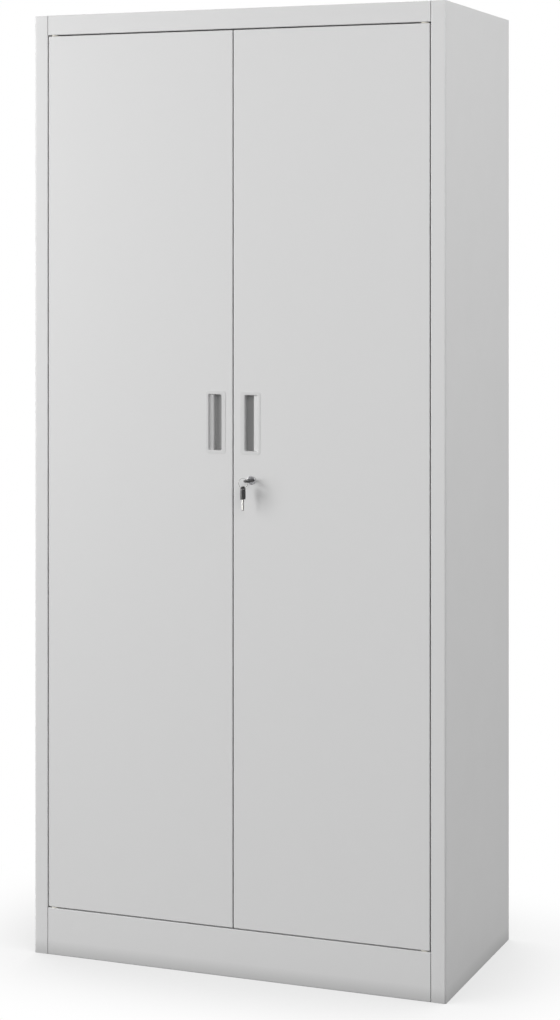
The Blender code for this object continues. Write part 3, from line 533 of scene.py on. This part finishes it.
@dataclass(frozen=True)
class SheetSteel:
    """Cold-rolled sheet and how it is folded.

    Attributes:
        sheet: Its thickness.
        fold: Outer radius of a fold.
        steps: How many faces make a fold.
        edge: Radius of the broken edges that show.
    """

    sheet: float = 0.8 * MM
    fold: float = 1.6 * MM
    steps: int = 5
    edge: float = 0.15 * MM

    def folded(self, corners: Sequence[Point], plane: str, start: float, end: float,
               radii: dict[int, float] | None = None) -> BMesh:
        """A strip folded along one direction.

        Args:
            corners: Points along one face of the sheet, with the material on their left.
            plane: Name of the plane of the section.
            start: Where the strip starts across the plane.
            end: Where it ends.
            radii: Outer radius of a fold by its number, where it isn't the usual one.

        Returns:
            The mesh.
        """
        bm = bmesh.new()
        verts = [bm.verts.new((a, b, start)) for a, b in corners]
        edges = [bm.edges.new(pair) for pair in zip(verts, verts[1:])]
        grown = bmesh.ops.extrude_edge_only(bm, edges=edges)["geom"]
        moved = [v for v in grown if isinstance(v, bmesh.types.BMVert)]
        bmesh.ops.translate(bm, verts=moved, vec=(0, 0, end - start))
        bm.normal_update()
        along = verts[1].co - verts[0].co
        if edges[0].link_faces[0].normal.dot((-along.y, along.x, 0)) > 0:
            bmesh.ops.reverse_faces(bm, faces=bm.faces)
        folds = [next(e for e in v.link_edges if len(e.link_faces) == 2) for v in verts[1:-1]]
        lefts = [self.turns_left(corners[i : i + 3]) for i in range(len(folds))]
        for number, edge in enumerate(folds, 1):
            outer = (radii or {}).get(number, self.fold)
            radius = outer if lefts[number - 1] else outer - self.sheet
            bevel(bm, [edge], radius, self.steps)
        bmesh.ops.solidify(bm, geom=bm.faces[:], thickness=self.sheet)
        return basis(plane, bm)

    @staticmethod
    def turns_left(corners: Sequence[Point]) -> bool:
        """Whether a path through three points turns left at the middle one."""
        (ax, ay), (bx, by), (cx, cy) = corners
        return (bx - ax) * (cy - by) - (by - ay) * (cx - bx) > 0

    def tray(self, low: Vector, high: Vector, axis: int, opening: int, lip: float) -> BMesh:
        """A sheet folded up on four sides, with a lip turned in all round.

        Args:
            low: The lowest corner.
            high: The highest corner.
            axis: Number of the axis that the tray opens along.
            opening: 1 or -1, the side of that axis that is open.
            lip: Width of the lip.

        Returns:
            The mesh.
        """
        bm = block(low, high)
        bm.normal_update()
        mouth = next(f for f in bm.faces if f.normal[axis] * opening > FACING)
        bmesh.ops.inset_region(bm, faces=[mouth], thickness=lip, use_even_offset=True)
        bmesh.ops.delete(bm, geom=[mouth], context="FACES")
        bm.normal_update()
        folds = [e for e in bm.edges if len(e.link_faces) == 2 and e.calc_face_angle(0) > FOLD_ANGLE]
        bevel(bm, folds, self.fold, self.steps)
        bmesh.ops.solidify(bm, geom=bm.faces[:], thickness=self.sheet)
        bmesh.ops.recalc_face_normals(bm, faces=bm.faces)
        return bm


STEEL = SheetSteel()


@dataclass
class Workshop:
    """Turns meshes into finished pieces of the scene."""

    materials: dict[str, bpy.types.Material] = field(default_factory=dict)

    def finish(self, finish: Finish) -> bpy.types.Material:
        """The one material of a finish, built when it is first asked for.

        Args:
            finish: The finish.

        Returns:
            The material.
        """
        if finish.label not in self.materials:
            self.materials[finish.label] = finish.material()
        return self.materials[finish.label]

    @staticmethod
    def body_of(node: str) -> str:
        """Name of the body that a CAD node rides on."""
        bodies = frame["record"]["behaviour"]["bodies"]
        return next(name for name, nodes in bodies.items() if node in nodes)

    def add(self, name: str, bm: BMesh, finish: Finish, nodes: Sequence[str], edge: float = 0.0,
            segments: int = 2) -> bpy.types.Object:
        """Make a piece that stands for CAD nodes and rides on their body.

        Args:
            name: Name of the piece.
            bm: Its mesh, which is used up.
            finish: Its finish.
            nodes: The CAD nodes that it replaces.
            edge: Radius of its broken edges, or 0 for none.
            segments: How many faces make a broken edge.

        Returns:
            The piece's object.
        """
        mesh = stored(name, bm)
        mesh.materials.append(self.finish(finish))
        mesh.shade_smooth()
        mesh.set_sharp_from_angle(angle=SHARP)
        piece = placed(name, mesh)
        if edge:
            soft = piece.modifiers.new("broken_edges", "BEVEL")
            soft.width = edge
            soft.segments = segments
            soft.limit_method = "ANGLE"
            soft.angle_limit = SHARP
        flat = piece.modifiers.new("flat_faces", "WEIGHTED_NORMAL")
        flat.keep_sharp = True
        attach(piece, self.body_of(nodes[0]))
        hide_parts(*nodes)
        LOG.info("%s: %d faces, for %s", name, len(mesh.polygons), ", ".join(nodes))
        return piece

    def refit(self, node: str, finish: Finish, edge: float, segments: int = 2) -> bpy.types.Object:
        """Give a small CAD part broken edges and its finish.

        Args:
            node: Name of the CAD node.
            finish: The finish.
            edge: Radius of its broken edges.
            segments: How many faces make a broken edge.

        Returns:
            The piece's object.
        """
        bm = bmesh.new()
        bm.from_mesh(frame["nodes"][node].data)
        bmesh.ops.remove_doubles(bm, verts=bm.verts, dist=WELD)
        bmesh.ops.dissolve_limit(bm, angle_limit=COPLANAR, verts=bm.verts, edges=bm.edges)
        bmesh.ops.recalc_face_normals(bm, faces=bm.faces)
        return self.add(f"{node}_finished", bm, finish, [node], edge, segments)


def centre_of(node: str) -> Vector:
    """Middle of a CAD node's box."""
    low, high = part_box(node)
    return (low + high) / 2


def rod_slot(direction: int, level: float, play: float, reach: float) -> BMesh:
    """Cutter for a lock rod's passage through a sheet.

    Args:
        direction: 1 for the upper rod and -1 for the lower.
        level: Height of the sheet.
        play: Room round the rod.
        reach: How far the cutter goes above and below the level.

    Returns:
        The cutter.
    """
    low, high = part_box("upper_lock_rod" if direction > 0 else "lower_lock_rod")
    outer = high.x if direction > 0 else low.x
    middle = outer - direction * ROD_WIDTH / 2
    half = ROD_WIDTH / 2 + play
    return block((middle - half, low.y - play, level - reach),
                 (middle + half, high.y + play, level + reach))


@dataclass
class Carcass:
    """The fixed sheet steel: sides, top with the front rail, floor with the plinth, back and shelves."""

    shop: Workshop
    front_radius: float = 4.0 * MM
    stile_return: float = 32 * MM
    stile_lip: float = 15 * MM
    rear_flange: float = 18 * MM
    rail_return: float = 40.3 * MM
    rail_flange: float = 14 * MM
    floor_flange: float = 22 * MM
    shelf_lip: float = 12 * MM
    seat: float = 0.3 * MM
    seam: float = 0.9 * MM
    bush_hole: float = 6.4 * MM
    stem_hole: float = 3.3 * MM
    bolt_play: float = 3 * MM
    slot_height: float = 4 * MM
    slot_width: float = 12 * MM
    slot_pitch: float = 50 * MM
    slot_margin: float = 45 * MM
    clip_edge: float = 0.3 * MM
    bush_edge: float = 0.25 * MM
    stop_edge: float = 0.5 * MM

    def __post_init__(self) -> None:
        """Take the overall places from the CAD frame."""
        low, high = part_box("right_side_panel")
        self.opening_x, self.half_width = low.x, high.x
        self.front, self.rear, self.height = low.y, high.y, high.z
        self.inner_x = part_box("top_panel")[1].x
        self.opening_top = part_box("top_panel")[0].z
        self.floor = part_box("bottom_panel")[1].z

    def corners(self, inner: float, near: float, far: float, low: float, high: float) -> list[BMesh]:
        """Blocks that notch a panel at both sides.

        Args:
            inner: Where they start, from the middle of the cupboard.
            near: Their front.
            far: Their back.
            low: Their foot.
            high: Their top.

        Returns:
            The two blocks.
        """
        outer = self.half_width + OVERRUN
        return [block((min(s * inner, s * outer), near, low), (max(s * inner, s * outer), far, high))
                for s in HANDS.values()]

    def side_panel(self, side: int) -> BMesh:
        """Side wall with its rounded front corner, stile and rear flange, from one sheet.

        Args:
            side: 1 for the right and -1 for the left.

        Returns:
            The mesh.
        """
        section = [
            (self.opening_x + self.stile_lip, self.front + self.stile_return),
            (self.opening_x, self.front + self.stile_return),
            (self.opening_x, self.front),
            (self.half_width, self.front),
            (self.half_width, self.rear),
            (self.half_width - self.rear_flange, self.rear),
        ]
        bm = STEEL.folded(section, "XY", 0, self.height, {3: self.front_radius})
        notch = block(
            (self.opening_x - OVERRUN, self.front + self.front_radius,
             self.height - STEEL.sheet - self.seat),
            (self.inner_x - STEEL.sheet, self.front + self.stile_return + OVERRUN,
             self.height + OVERRUN),
        )
        return mirrored(cut(bm, [notch]), side)

    def bush_holes(self, row: str) -> list[BMesh]:
        """Cutters for the holes of one row of pivot bushes.

        Args:
            row: "top" or "bottom".

        Returns:
            A cutter for each door.
        """
        bushes = [centre_of(f"{hand}_{row}_bush") for hand in HANDS]
        return [drum("XY", at.xy[:], self.bush_hole, at.z - OVERRUN, at.z + OVERRUN) for at in bushes]

    def top_panel(self) -> BMesh:
        """Top plate, front rail and the rail's return over the doors.

        Returns:
            The mesh.
        """
        rail_back = self.front + self.rail_return
        section = [
            (self.rear, self.height - self.rear_flange),
            (self.rear, self.height),
            (self.front, self.height),
            (self.front, self.opening_top),
            (rail_back, self.opening_top),
            (rail_back, self.opening_top + self.rail_flange),
        ]
        bm = STEEL.folded(section, "YZ", -self.inner_x, self.inner_x)
        below = self.opening_top - OVERRUN
        inner = self.opening_x - self.seam
        near = self.front - OVERRUN
        over = self.height + OVERRUN
        bm = cut(bm, self.corners(inner, near, self.front + self.front_radius + self.seat, below, over))
        bm = cut(bm, self.corners(inner, near, rail_back + OVERRUN, below,
                                  self.opening_top + self.rail_flange + STEEL.fold))
        bm = cut(bm, self.corners(self.half_width - self.rear_flange - self.seat,
                                  self.rear - STEEL.fold - self.seat, self.rear + OVERRUN, below, over))
        holes = [rod_slot(1, self.opening_top, self.bolt_play, STEEL.fold), *self.bush_holes("top")]
        for hand in HANDS:
            stop = centre_of(f"{hand}_door_buffer")
            holes.append(drum("XY", stop.xy[:], self.stem_hole, self.opening_top - STEEL.fold,
                              self.opening_top + STEEL.fold))
        return cut(bm, holes)

    def bottom_panel(self) -> BMesh:
        """Floor of the cupboard, plinth with its foot flange, and the flange inside the back sheet.

        Returns:
            The mesh.
        """
        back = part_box("bottom_panel")[1].y
        section = [
            (back, self.floor - self.rear_flange),
            (back, self.floor),
            (self.front, self.floor),
            (self.front, 0),
            (self.front + self.floor_flange, 0),
        ]
        bm = STEEL.folded(section, "YZ", -self.inner_x, self.inner_x)
        bm = cut(bm, self.corners(self.opening_x - self.seam, self.front - OVERRUN,
                                  self.front + self.stile_return + self.seat, -OVERRUN,
                                  self.floor + OVERRUN))
        return cut(bm, [rod_slot(-1, self.floor, self.bolt_play, STEEL.fold), *self.bush_holes("bottom")])

    def upright(self, hand: str, row: str) -> BMesh:
        """Slotted channel on the inside of a side wall.

        Args:
            hand: "left" or "right".
            row: "front" or "rear".

        Returns:
            The mesh.
        """
        low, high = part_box(f"right_{row}_upright")
        section = [(high.x, high.y), (low.x, high.y), (low.x, low.y), (high.x, low.y)]
        bm = STEEL.folded(section, "XY", low.z, high.z)
        middle = (low.y + high.y) / 2
        half_width, half_height = self.slot_width / 2, self.slot_height / 2
        level = self.floor + self.slot_margin
        slots = []
        while level <= self.height - self.slot_margin:
            slots.append(block((low.x - STEEL.fold, middle - half_width, level - half_height),
                               (low.x + STEEL.fold, middle + half_width, level + half_height)))
            level += self.slot_pitch
        return mirrored(cut(bm, slots), HANDS[hand])

    def build(self) -> None:
        """Make every fixed piece."""
        add = self.shop.add
        for hand, side in HANDS.items():
            add(f"{hand}_side_sheet", self.side_panel(side), POWDER_COAT, [f"{hand}_side_panel"],
                STEEL.edge)
            for row in ("front", "rear"):
                add(f"{hand}_{row}_slotted_upright", self.upright(hand, row), POWDER_COAT,
                    [f"{hand}_{row}_upright"])
        add("top_and_rail_sheet", self.top_panel(), POWDER_COAT, ["top_panel"], STEEL.edge)
        add("floor_and_plinth_sheet", self.bottom_panel(), POWDER_COAT, ["bottom_panel"], STEEL.edge)
        add("back_sheet", block(*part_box("back_panel")), POWDER_COAT, ["back_panel"], STEEL.edge)
        for node in sorted(frame["nodes"]):
            if node.startswith("shelf_") and "clip" not in node:
                bm = STEEL.tray(*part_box(node), 2, -1, self.shelf_lip)
                add(f"{node}_tray", bm, POWDER_COAT, [node])
            elif "clip" in node:
                self.shop.refit(node, ZINC_PLATE, self.clip_edge)
            elif node.endswith("_bush"):
                self.shop.refit(node, NYLON, self.bush_edge)
            elif node.endswith("_door_buffer"):
                self.shop.refit(node, RUBBER, self.stop_edge)


@dataclass
class Door:
    """One folded steel door with its stiffener, handle cup and pivots."""

    shop: Workshop
    hand: str
    lip: float = 14 * MM
    pin_hole: float = 4.3 * MM
    barrel_hole: float = 8.1 * MM
    rod_play: float = 0.4 * MM
    cup_corner: float = 5.5 * MM
    cup_wall: float = 2.2 * MM
    cup_softness: float = 0.4 * MM
    softness_steps: int = 4
    flange_proud: float = 0.55 * MM
    flange_seat: float = 0.05 * MM
    cup_seat: float = 0.3 * MM
    pocket_centre: float = 39.65 * MM
    pocket_width: float = 27.7 * MM
    pocket_length: float = 112.2 * MM
    pocket_corner: float = 3.5 * MM
    roll: float = 3.5 * MM
    roll_steps: int = 8
    rest_width: float = 9.8 * MM
    rest_depth: float = 3.0 * MM
    rest_fall: float = 1.2 * MM
    well_draft: float = 1.5 * MM
    brink_radius: float = 1.6 * MM
    fillet: float = 1.4 * MM
    fillet_steps: int = 5
    hat_foot: float = 16 * MM
    hat_draft: float = 6 * MM
    cup_edge: float = 0.35 * MM
    pin_edge: float = 0.2 * MM

    def __post_init__(self) -> None:
        """Take the door's place from the CAD frame."""
        self.side = HANDS[self.hand]
        self.low, self.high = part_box(f"{self.hand}_door_skin")
        self.front = self.low.y

    def skin(self) -> BMesh:
        """Outer sheet with its handle opening and the holes of its fittings.

        Returns:
            The mesh.
        """
        bm = STEEL.tray(self.low, self.high, 1, 1, self.lip)
        near, far = self.front - OVERRUN, self.front + OVERRUN
        cutters = [mirrored(self.pocket_block(near, far, self.cup_wall + self.cup_seat), self.side)]
        half = OVERRUN / 2
        for row, level in (("bottom", self.low.z), ("top", self.high.z)):
            pin = centre_of(f"{self.hand}_{row}_pivot")
            cutters.append(drum("XY", pin.xy[:], self.pin_hole, level - half, level + half))
        if self.hand == "right":
            barrel = centre_of("lock_barrel")
            cutters.append(drum("XZ", (barrel.x, barrel.z), self.barrel_hole, near, far))
            for direction, level in ((1, self.high.z), (-1, self.low.z)):
                cutters.append(rod_slot(direction, level, self.rod_play, half))
        return cut(bm, cutters)

    def stiffener(self) -> BMesh:
        """Hat section down the middle of the door.

        Returns:
            The mesh.
        """
        low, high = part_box("right_door_stiffener")
        crown = high.y - STEEL.sheet
        section = [
            (low.x, low.y),
            (low.x + self.hat_foot, low.y),
            (low.x + self.hat_foot + self.hat_draft, crown),
            (high.x - self.hat_foot - self.hat_draft, crown),
            (high.x - self.hat_foot, low.y),
            (high.x, low.y),
        ]
        return mirrored(STEEL.folded(section, "XY", low.z, high.z), self.side)

    def pocket_block(self, near: float, far: float, margin: float = 0.0) -> BMesh:
        """A block with the right-hand pocket's outline, grown by a margin.

        Args:
            near: Its front.
            far: Its back.
            margin: How far it goes past the pocket all round.

        Returns:
            The mesh.
        """
        low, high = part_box("right_handle_cup")
        middle = (low.z + high.z) / 2
        reach_x, reach_z = self.pocket_width / 2 + margin, self.pocket_length / 2 + margin
        return rounded_block((self.pocket_centre - reach_x, near, middle - reach_z),
                             (self.pocket_centre + reach_x, far, middle + reach_z),
                             1, self.pocket_corner + margin)

    @staticmethod
    def drawn_face(bm: BMesh, face: bmesh.types.BMFace, shift: float) -> bmesh.types.BMFace:
        """Extrude a face along the frame's Y.

        Args:
            bm: The mesh.
            face: The face.
            shift: How far it goes.

        Returns:
            The new face.
        """
        grown = bmesh.ops.extrude_discrete_faces(bm, faces=[face])["faces"][0]
        bmesh.ops.translate(bm, verts=grown.verts, vec=(0, shift, 0))
        return grown

    def pocket(self) -> BMesh:
        """The room inside the right-hand cup: a well with a rolled mouth and a finger rest beside it.

        Returns:
            The mesh.
        """
        low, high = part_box("right_handle_cup")
        floor = high.y - self.cup_wall
        mouth = self.pocket_block(low.y + self.roll, high.y)
        face = min(mouth.faces, key=lambda f: f.calc_center_median().y)
        centre = face.calc_center_median()
        near = wide = 0.0
        for step in range(1, self.roll_steps + 1):
            turn = math.pi / 2 * step / self.roll_steps
            nearer, wider = self.roll * math.sin(turn), self.roll * (1 - math.cos(turn))
            face = self.drawn_face(mouth, face, near - nearer)
            for vert in face.verts:
                vert.co.x += math.copysign(wider - wide, vert.co.x - centre.x)
                vert.co.z += math.copysign(wider - wide, vert.co.z - centre.z)
            near, wide = nearer, wider
        self.drawn_face(mouth, face, -OVERRUN)
        inner = self.pocket_centre - self.pocket_width / 2
        outer = self.pocket_centre + self.pocket_width / 2
        brink = outer - self.rest_width
        section = [
            (inner, self.front - 2 * OVERRUN),
            (outer + OVERRUN, self.front - 2 * OVERRUN),
            (outer + OVERRUN, self.front + self.rest_depth),
            (outer, self.front + self.rest_depth),
            (brink, self.front + self.rest_depth + self.rest_fall),
            (brink - self.well_draft, floor),
            (inner - OVERRUN, floor),
            (inner - OVERRUN, self.front - 2 * OVERRUN),
        ]
        depths = drawn_out(section, "XY", low.z, high.z)
        for across, radius in ((brink, self.brink_radius), (brink - self.well_draft, self.fillet)):
            corner = [e for e in depths.edges
                      if all(abs(v.co.x - across) < WELD and v.co.y > self.front for v in e.verts)]
            bevel(depths, corner, radius, self.fillet_steps)
        return cut(depths, [mouth], "INTERSECT")

    def cup(self) -> BMesh:
        """Recessed finger pull: a thin soft-edged flange round the pocket's shell.

        Returns:
            The mesh.
        """
        low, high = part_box("right_handle_cup")
        near, back = self.front - self.flange_proud, self.front - self.flange_seat
        flange = rounded_block((low.x, near, low.z), (high.x, back, high.z), 1, self.cup_corner)
        face = min(flange.faces, key=lambda f: f.calc_center_median().y)
        bevel(flange, face.edges, self.cup_softness, self.softness_steps)
        shell = self.pocket_block((near + back) / 2, high.y, self.cup_wall)
        return mirrored(cut(cut(flange, [shell], "UNION"), [self.pocket()]), self.side)

    def build(self) -> None:
        """Make the door's own pieces."""
        add, hand = self.shop.add, self.hand
        add(f"{hand}_door_sheet", self.skin(), POWDER_COAT, [f"{hand}_door_skin"])
        add(f"{hand}_door_hat_section", self.stiffener(), POWDER_COAT, [f"{hand}_door_stiffener"])
        add(f"{hand}_finger_pull", self.cup(), CUP_PLASTIC, [f"{hand}_handle_cup"], self.cup_edge)
        for row in ("top", "bottom"):
            self.shop.refit(f"{hand}_{row}_pivot", ZINC_PLATE, self.pin_edge)


@dataclass
class Lock:
    """The lock in the right door, with the rods that it drives."""

    shop: Workshop
    turned_edge: float = 0.25 * MM
    turned_steps: int = 3
    stamped_edge: float = 0.3 * MM
    tooth_edge: float = 0.1 * MM
    moulded_edge: float = 0.5 * MM

    def build(self) -> None:
        """Finish every part of the lock."""
        refit = self.shop.refit
        for node in ("lock_barrel", "lock_plug"):
            refit(node, CHROME_PLATE, self.turned_edge, self.turned_steps)
        for node in ("lock_nut", "lock_case", "lock_cam", "upper_lock_rod", "lower_lock_rod"):
            refit(node, ZINC_PLATE, self.stamped_edge)
        refit("lock_pinion", ZINC_PLATE, self.tooth_edge)
        for node in ("upper_rod_guide", "lower_rod_guide"):
            refit(node, NYLON, self.moulded_edge)


@dataclass
class KeySet:
    """The key in the lock, the split ring and the spare key."""

    shop: Workshop
    wire: float = 0.35 * MM
    coils: int = 2
    coil_steps: int = 48
    wire_sides: int = 10
    blade_edge: float = 0.15 * MM
    bow_edge: float = 0.6 * MM
    bow_steps: int = 3

    def split_ring(self) -> BMesh:
        """Two touching coils of spring wire.

        Returns:
            The mesh.
        """
        low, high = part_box("key_ring")
        middle = (low + high) / 2
        radius = (high.x - low.x) / 2 - self.wire
        bm = bmesh.new()
        bmesh.ops.create_circle(bm, cap_ends=True, segments=self.wire_sides, radius=self.wire)
        bmesh.ops.rotate(bm, matrix=Matrix.Rotation(math.pi / 2, 3, "X"), verts=bm.verts)
        rise = 2 * self.wire
        bmesh.ops.translate(bm, vec=(radius, 0, 0), verts=bm.verts)
        steps = self.coils * self.coil_steps
        bmesh.ops.spin(bm, geom=bm.faces[:], cent=(0, 0, 0), axis=(0, 0, 1), angle=math.tau * self.coils,
                       steps=steps, dvec=(0, 0, (high.y - low.y - rise) / steps))
        bmesh.ops.translate(bm, vec=(middle.x, middle.z, low.y + self.wire), verts=bm.verts)
        return basis("XZ", bm)

    def build(self) -> None:
        """Make the keys and their ring."""
        for prefix in ("", "spare_"):
            self.shop.refit(f"{prefix}key_blade", NICKEL_PLATE, self.blade_edge)
            self.shop.refit(f"{prefix}key_bow", KEY_PLASTIC, self.bow_edge, self.bow_steps)
        self.shop.add("split_ring", self.split_ring(), NICKEL_PLATE, ["key_ring"])


@dataclass(frozen=True)
class Lamp:
    """A soft box.

    Attributes:
        name: Its name.
        place: Where it hangs.
        aim: Where it points.
        size: Length of its sides.
        watts: Its power.
    """

    name: str
    place: tuple[float, float, float]
    aim: tuple[float, float, float]
    size: float
    watts: float

    def hang(self) -> None:
        """Put the lamp in the scene."""
        data = bpy.data.lights.new(self.name, "AREA")
        data.size = self.size
        data.energy = self.watts
        lamp = placed(self.name, data)
        lamp.location = self.place
        lamp.rotation_euler = (Vector(self.aim) - Vector(self.place)).to_track_quat("-Z", "Y").to_euler()


@dataclass
class Studio:
    """A plain white studio, its lamps, and the camera at the photograph's angle.

    Attributes:
        sky: Strength of the dome of light.
        floor_size: Length of the floor's sides.
        floor_look: The floor's sRGB hex colour where it is seen.
        foot_lift: Its own glow beside a wall.
        open_lift: Its own glow in the open.
        shade_reach: How far away a piece still shades it.
        shade_samples: Rays that measure that shade.
        beside_wall: How open the floor is at the foot of a wall, from 0 to 1.
        covered: How open it has to be to glow in full, so that it stays dark under the cupboard.
        floor_bounce: The sRGB hex colour of the light that it throws back.
        contact_bounce: The same at the cupboard's foot.
        contact: Distances from the foot between which the one becomes the other.
        fade: Distances from the foot between which the floor becomes white.
        lens: Focal length of the camera in mm.
        eye: Where the camera stands.
        turn: Its turn about the upright.
        shift: Its vertical shift.
        lamps: The soft boxes.
    """

    sky: float = 0.215
    floor_size: float = 60.0
    floor_look: str = "#595959"
    foot_lift: float = 0.724
    open_lift: float = 0.944
    shade_reach: float = 0.7
    shade_samples: int = 16
    beside_wall: float = 0.5
    covered: float = 0.35
    floor_bounce: str = "#707070"
    contact_bounce: str = "#101010"
    contact: Point = (5 * MM, 45 * MM)
    fade: Point = (0.045, 0.39)
    lens: float = 81.53
    eye: tuple[float, float, float] = (1.798, -4.524, 1.493)
    turn: float = math.radians(21.46)
    shift: float = -0.2654
    lamps: tuple[Lamp, ...] = (
        Lamp("key_soft_box", (-6.399, -5.209, 2.141), (0.0, -0.21, 1.0), 4.6, 620.0),
        Lamp("fill_soft_box", (2.592, -4.053, 2.873), (0.0, -0.21, 1.2), 3.0, 72.0),
        Lamp("side_soft_box", (3.355, -0.21, 3.179), (0.3, 0.0, 1.2), 2.0, 56.0),
        Lamp("back_soft_box", (-0.849, 5.056, 2.04), (0.0, 0.24, 1.0), 3.0, 100.0),
    )

    @staticmethod
    def seen_rays(tree: Tree) -> Socket:
        """A factor that is 1 for camera, glossy and transmission rays.

        Args:
            tree: The tree that gets the nodes.

        Returns:
            The factor's socket.
        """
        rays = add_node(tree, "ShaderNodeLightPath").outputs
        mirror = add_node(tree, "ShaderNodeMath", {"operation": "MAXIMUM"},
                          {0: rays["Is Glossy Ray"], 1: rays["Is Transmission Ray"]})
        return add_node(tree, "ShaderNodeMath", {"operation": "MAXIMUM"},
                        {0: rays["Is Camera Ray"], 1: mirror.outputs[0]}).outputs[0]

    def world(self) -> None:
        """White where it is seen, and an even dome of light everywhere else."""
        world = bpy.data.worlds.new("studio")
        world.use_nodes = True
        bpy.context.scene.world = world
        tree = world.node_tree
        tree.nodes.clear()
        dome = add_node(tree, "ShaderNodeBackground", {"Color": WHITE, "Strength": self.sky})
        seen = add_node(tree, "ShaderNodeBackground", {"Color": WHITE, "Strength": 1.0})
        mixed = add_node(tree, "ShaderNodeMixShader", {},
                         {0: self.seen_rays(tree), 1: dome.outputs[0], 2: seen.outputs[0]})
        add_node(tree, "ShaderNodeOutputWorld", {}, {"Surface": mixed.outputs[0]})

    @staticmethod
    def from_foot(tree: Tree) -> Socket:
        """Distance along the floor from the cupboard's foot.

        Args:
            tree: The tree that gets the nodes.

        Returns:
            The distance's socket.
        """
        low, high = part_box("left_side_panel")
        middle = (0.0, (low.y + high.y) / 2, 0.0)
        half = (-low.x, (high.y - low.y) / 2, 0.0)
        spot = add_node(tree, "ShaderNodeTexCoord").outputs["Object"]
        for operation, value in (("SUBTRACT", middle), ("ABSOLUTE", None), ("SUBTRACT", half),
                                 ("MAXIMUM", (0.0, 0.0, 0.0)), ("LENGTH", None)):
            settings = {"operation": operation}
            if value is not None:
                settings[1] = value
            step = add_node(tree, "ShaderNodeVectorMath", settings, {0: spot})
            spot = step.outputs["Value" if operation == "LENGTH" else "Vector"]
        return spot

    def floor_seen(self, tree: Tree, faded: Socket) -> Socket:
        """How the floor looks: shaded round the cupboard's foot and white further off.

        Args:
            tree: The tree that gets the nodes.
            faded: How far it has faded to white, from 0 to 1.

        Returns:
            The shader's socket.
        """
        look = add_node(tree, "ShaderNodeBsdfDiffuse", {"Color": linear(self.floor_look)})
        shade = add_node(tree, "ShaderNodeAmbientOcclusion",
                         {"samples": self.shade_samples, "Distance": self.shade_reach}).outputs["AO"]
        glow = add_node(tree, "ShaderNodeMapRange",
                        {"From Min": self.beside_wall, "From Max": 1.0,
                         "To Min": self.foot_lift, "To Max": self.open_lift}, {"Value": shade})
        open_air = add_node(tree, "ShaderNodeMapRange", {"From Max": self.covered}, {"Value": shade})
        strength = add_node(tree, "ShaderNodeMath", {"operation": "MULTIPLY"},
                            {0: glow.outputs["Result"], 1: open_air.outputs["Result"]})
        lift = add_node(tree, "ShaderNodeEmission", {"Color": WHITE}, {"Strength": strength.outputs[0]})
        lit = add_node(tree, "ShaderNodeAddShader", {}, {0: look.outputs[0], 1: lift.outputs[0]})
        plain = add_node(tree, "ShaderNodeEmission", {"Color": WHITE, "Strength": 1.0})
        return add_node(tree, "ShaderNodeMixShader", {},
                        {0: faded, 1: lit.outputs[0], 2: plain.outputs[0]}).outputs[0]

    def floor_material(self) -> bpy.types.Material:
        """The floor's material, which lights the cupboard otherwise than it looks.

        Returns:
            The material.
        """
        made = bpy.data.materials.new("studio_floor_white")
        made.use_nodes = True
        tree = made.node_tree
        tree.nodes.clear()
        distance = self.from_foot(tree)
        clear, faded = (add_node(tree, "ShaderNodeMapRange",
                                 {"interpolation_type": "SMOOTHSTEP", "From Min": start, "From Max": end},
                                 {"Value": distance}).outputs["Result"]
                        for start, end in (self.contact, self.fade))
        tone = add_node(tree, "ShaderNodeMix",
                        {"data_type": "RGBA", MIX_FIRST: linear(self.contact_bounce),
                         MIX_SECOND: linear(self.floor_bounce)}, {0: clear})
        bounce = add_node(tree, "ShaderNodeBsdfDiffuse", {}, {"Color": tone.outputs[MIX_RESULT]})
        mixed = add_node(tree, "ShaderNodeMixShader", {},
                         {0: self.seen_rays(tree), 1: bounce.outputs[0], 2: self.floor_seen(tree, faded)})
        add_node(tree, "ShaderNodeOutputMaterial", {}, {"Surface": mixed.outputs[0]})
        return made

    def ground(self) -> None:
        """A pale floor that keeps the cupboard's shadow and fades to the white of the studio."""
        bm = bmesh.new()
        bmesh.ops.create_grid(bm, x_segments=1, y_segments=1, size=self.floor_size / 2)
        mesh = stored("studio_floor", bm)
        mesh.materials.append(self.floor_material())
        placed("studio_floor", mesh)

    def camera(self) -> None:
        """The photograph's level camera, shifted down rather than tilted."""
        data = bpy.data.cameras.new("camera")
        data.lens = self.lens
        data.shift_y = self.shift
        camera = placed("camera", data)
        camera.location = self.eye
        camera.rotation_euler = (math.pi / 2, 0.0, self.turn)
        bpy.context.scene.camera = camera

    def build(self) -> None:
        """Set up the studio."""
        bpy.context.scene.view_settings.view_transform = "Standard"
        self.world()
        self.ground()
        for lamp in self.lamps:
            lamp.hang()
        self.camera()


def main() -> None:
    """Build the cupboard's looks and the studio round it."""
    logging.basicConfig(level=logging.INFO, format="%(name)s: %(message)s")
    shop = Workshop()
    Studio().build()
    Carcass(shop).build()
    for hand in HANDS:
        Door(shop, hand).build()
    Lock(shop).build()
    KeySet(shop).build()


if __name__ == "__main__":
    main()
